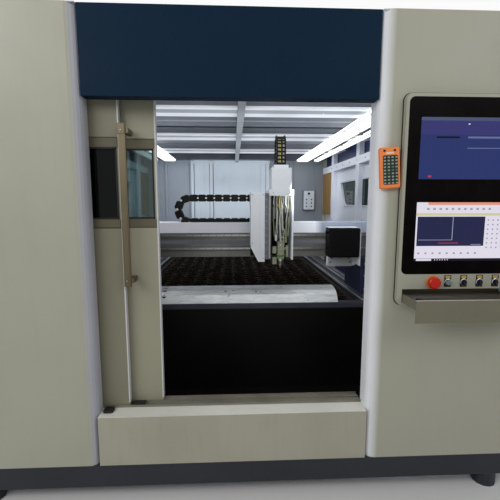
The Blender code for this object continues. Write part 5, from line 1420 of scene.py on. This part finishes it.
# A pale strip of painted highlight along the drawer's top front edge.
add_block(rails, (drawer_low.x + 0.001, drawer_low.y + 0.0005, drawer_high.z - 0.001),
          (drawer_high.x - 0.001, drawer_low.y + 0.012, drawer_high.z + 0.001), 2)
piece("drawer_rails", rails, [bracket_steel, key_black, painted_edge_highlight], "drawer", "bare_metal", 0.001)
print("keyboard with", ROWS * COLUMNS, "keys")

# %% [markdown]
# ## The hand remote
# An orange soft case holds a dark keypad with four columns of keys. It hangs a little askew on the
# column, so its parts are built upright at the origin and then turned and moved together.

# %% Remote
keypad = bmesh.new()
add_plate(keypad, (-0.036, -0.078), (0.036, 0.060), 0.006, -0.0160, -0.0125, 0)
for row in range(9):
    for column in range(4):
        x, z = -0.0285 + 0.019 * column, 0.050 - 0.0152 * row
        kind = 2 if (row, column) in ((3, 2), (4, 2), (4, 3), (5, 1)) else 1
        add_plate(keypad, (x - 0.0052, z - 0.0038), (x + 0.0052, z + 0.0038), 0.0018, -0.0176, -0.0155,
                  kind, 2)
for x in (-0.028, 0.022):
    add_bolt(keypad, (x, -0.0140, 0.082), (0, -1, 0), 0.0052, 0)
add_plate(keypad, (-0.020, 0.066), (0.018, 0.074), 0.002, -0.0146, -0.0135, 3, 2)
tilt = Matrix.Rotation(math.radians(-4.0), 3, "Y")
remote_low, remote_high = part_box("hand_remote")
bmesh.ops.rotate(keypad, verts=keypad.verts, cent=(0, 0, 0), matrix=tilt)
bmesh.ops.translate(keypad, verts=keypad.verts, vec=(remote_low + remote_high) / 2)
piece("remote_keypad", keypad, [key_black, key_pale, key_green, pin_cream], "root", "knob")
print("remote dressed")

# %% [markdown]
# ## Outside of the cabin
# The photograph doesn't show the sides and the back, so they are finished plainly, as such machines
# are: panel joints, screws along them, and on the back two service doors with louvres.

# %% Outer panels
corner_posts = bmesh.new()
rear_low, rear_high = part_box("back_wall")
for side in (-1, 1):
    x0, x1 = sorted((side * (rear_high.x + 0.0005), side * (SKIN - 0.0003)))
    add_block(corner_posts, (x0, rear_low.y + 0.002, rear_low.z),
              (x1, rear_high.y - 0.0015, rear_high.z - 0.0005))
piece("rear_corner_posts", corner_posts, shell, "root", "shell_paint", 0.002)
joints = bmesh.new()
pane_low, pane_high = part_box("side_wall_right_pane")
for side in (-1, 1):
    x0, x1 = sorted((side * (OUTSIDE - 0.0015), side * (OUTSIDE + 0.0003)))
    for y in (-0.86, 0.17, 1.20):
        beside = y < pane_low.y or y > pane_high.y
        for z0, z1 in ((0.22, 2.29),) if beside else ((0.22, pane_low.z), (pane_high.z, 2.29)):
            add_block(joints, (x0, y - 0.002, z0), (x1, y + 0.002, z1))
    add_block(joints, (x0, front + 0.21, 2.099), (x1, back_high.y - 0.01, 2.103))
    add_block(joints, (x0, front + 0.21, 0.50), (x1, back_high.y - 0.01, 0.504))
piece("panel_joints", joints, rubber, "root", "hose")
fixings = bmesh.new()
for side in (-1, 1):
    for y in (-0.90, -0.82, 0.13, 0.21, 1.16, 1.24, -1.80, 2.15):
        for z in (0.30 + 0.28 * i for i in range(7)):
            if not (pane_low.y < y < pane_high.y and pane_low.z < z < pane_high.z):
                add_bolt(fixings, (side * (OUTSIDE - 0.0035), y, z), (side, 0, 0), 0.005)
piece("panel_screws", fixings, steel, "root", "bare_metal")

service = bmesh.new()
rear = back_high.y
for x0, x1 in ((-1.20, -0.05), (0.05, 1.20)):
    add_plate(service, (x0, 0.36), (x1, 2.10), 0.012, rear - 0.002, rear + 0.0005, 0)
    for i in range(12):
        z = 0.52 + 0.026 * i
        add_block(service, (x0 + 0.30, rear - 0.001, z), (x1 - 0.30, rear + 0.0009, z + 0.009), 1)
    latch = x1 - 0.05 if x0 < 0 else x0 + 0.02
    add_block(service, (latch, rear - 0.001, 1.15), (latch + 0.03, rear + 0.0009, 1.33), 1)
piece("service_doors", service, [shell, key_black], "root", "shell_paint")
print("outside dressed")
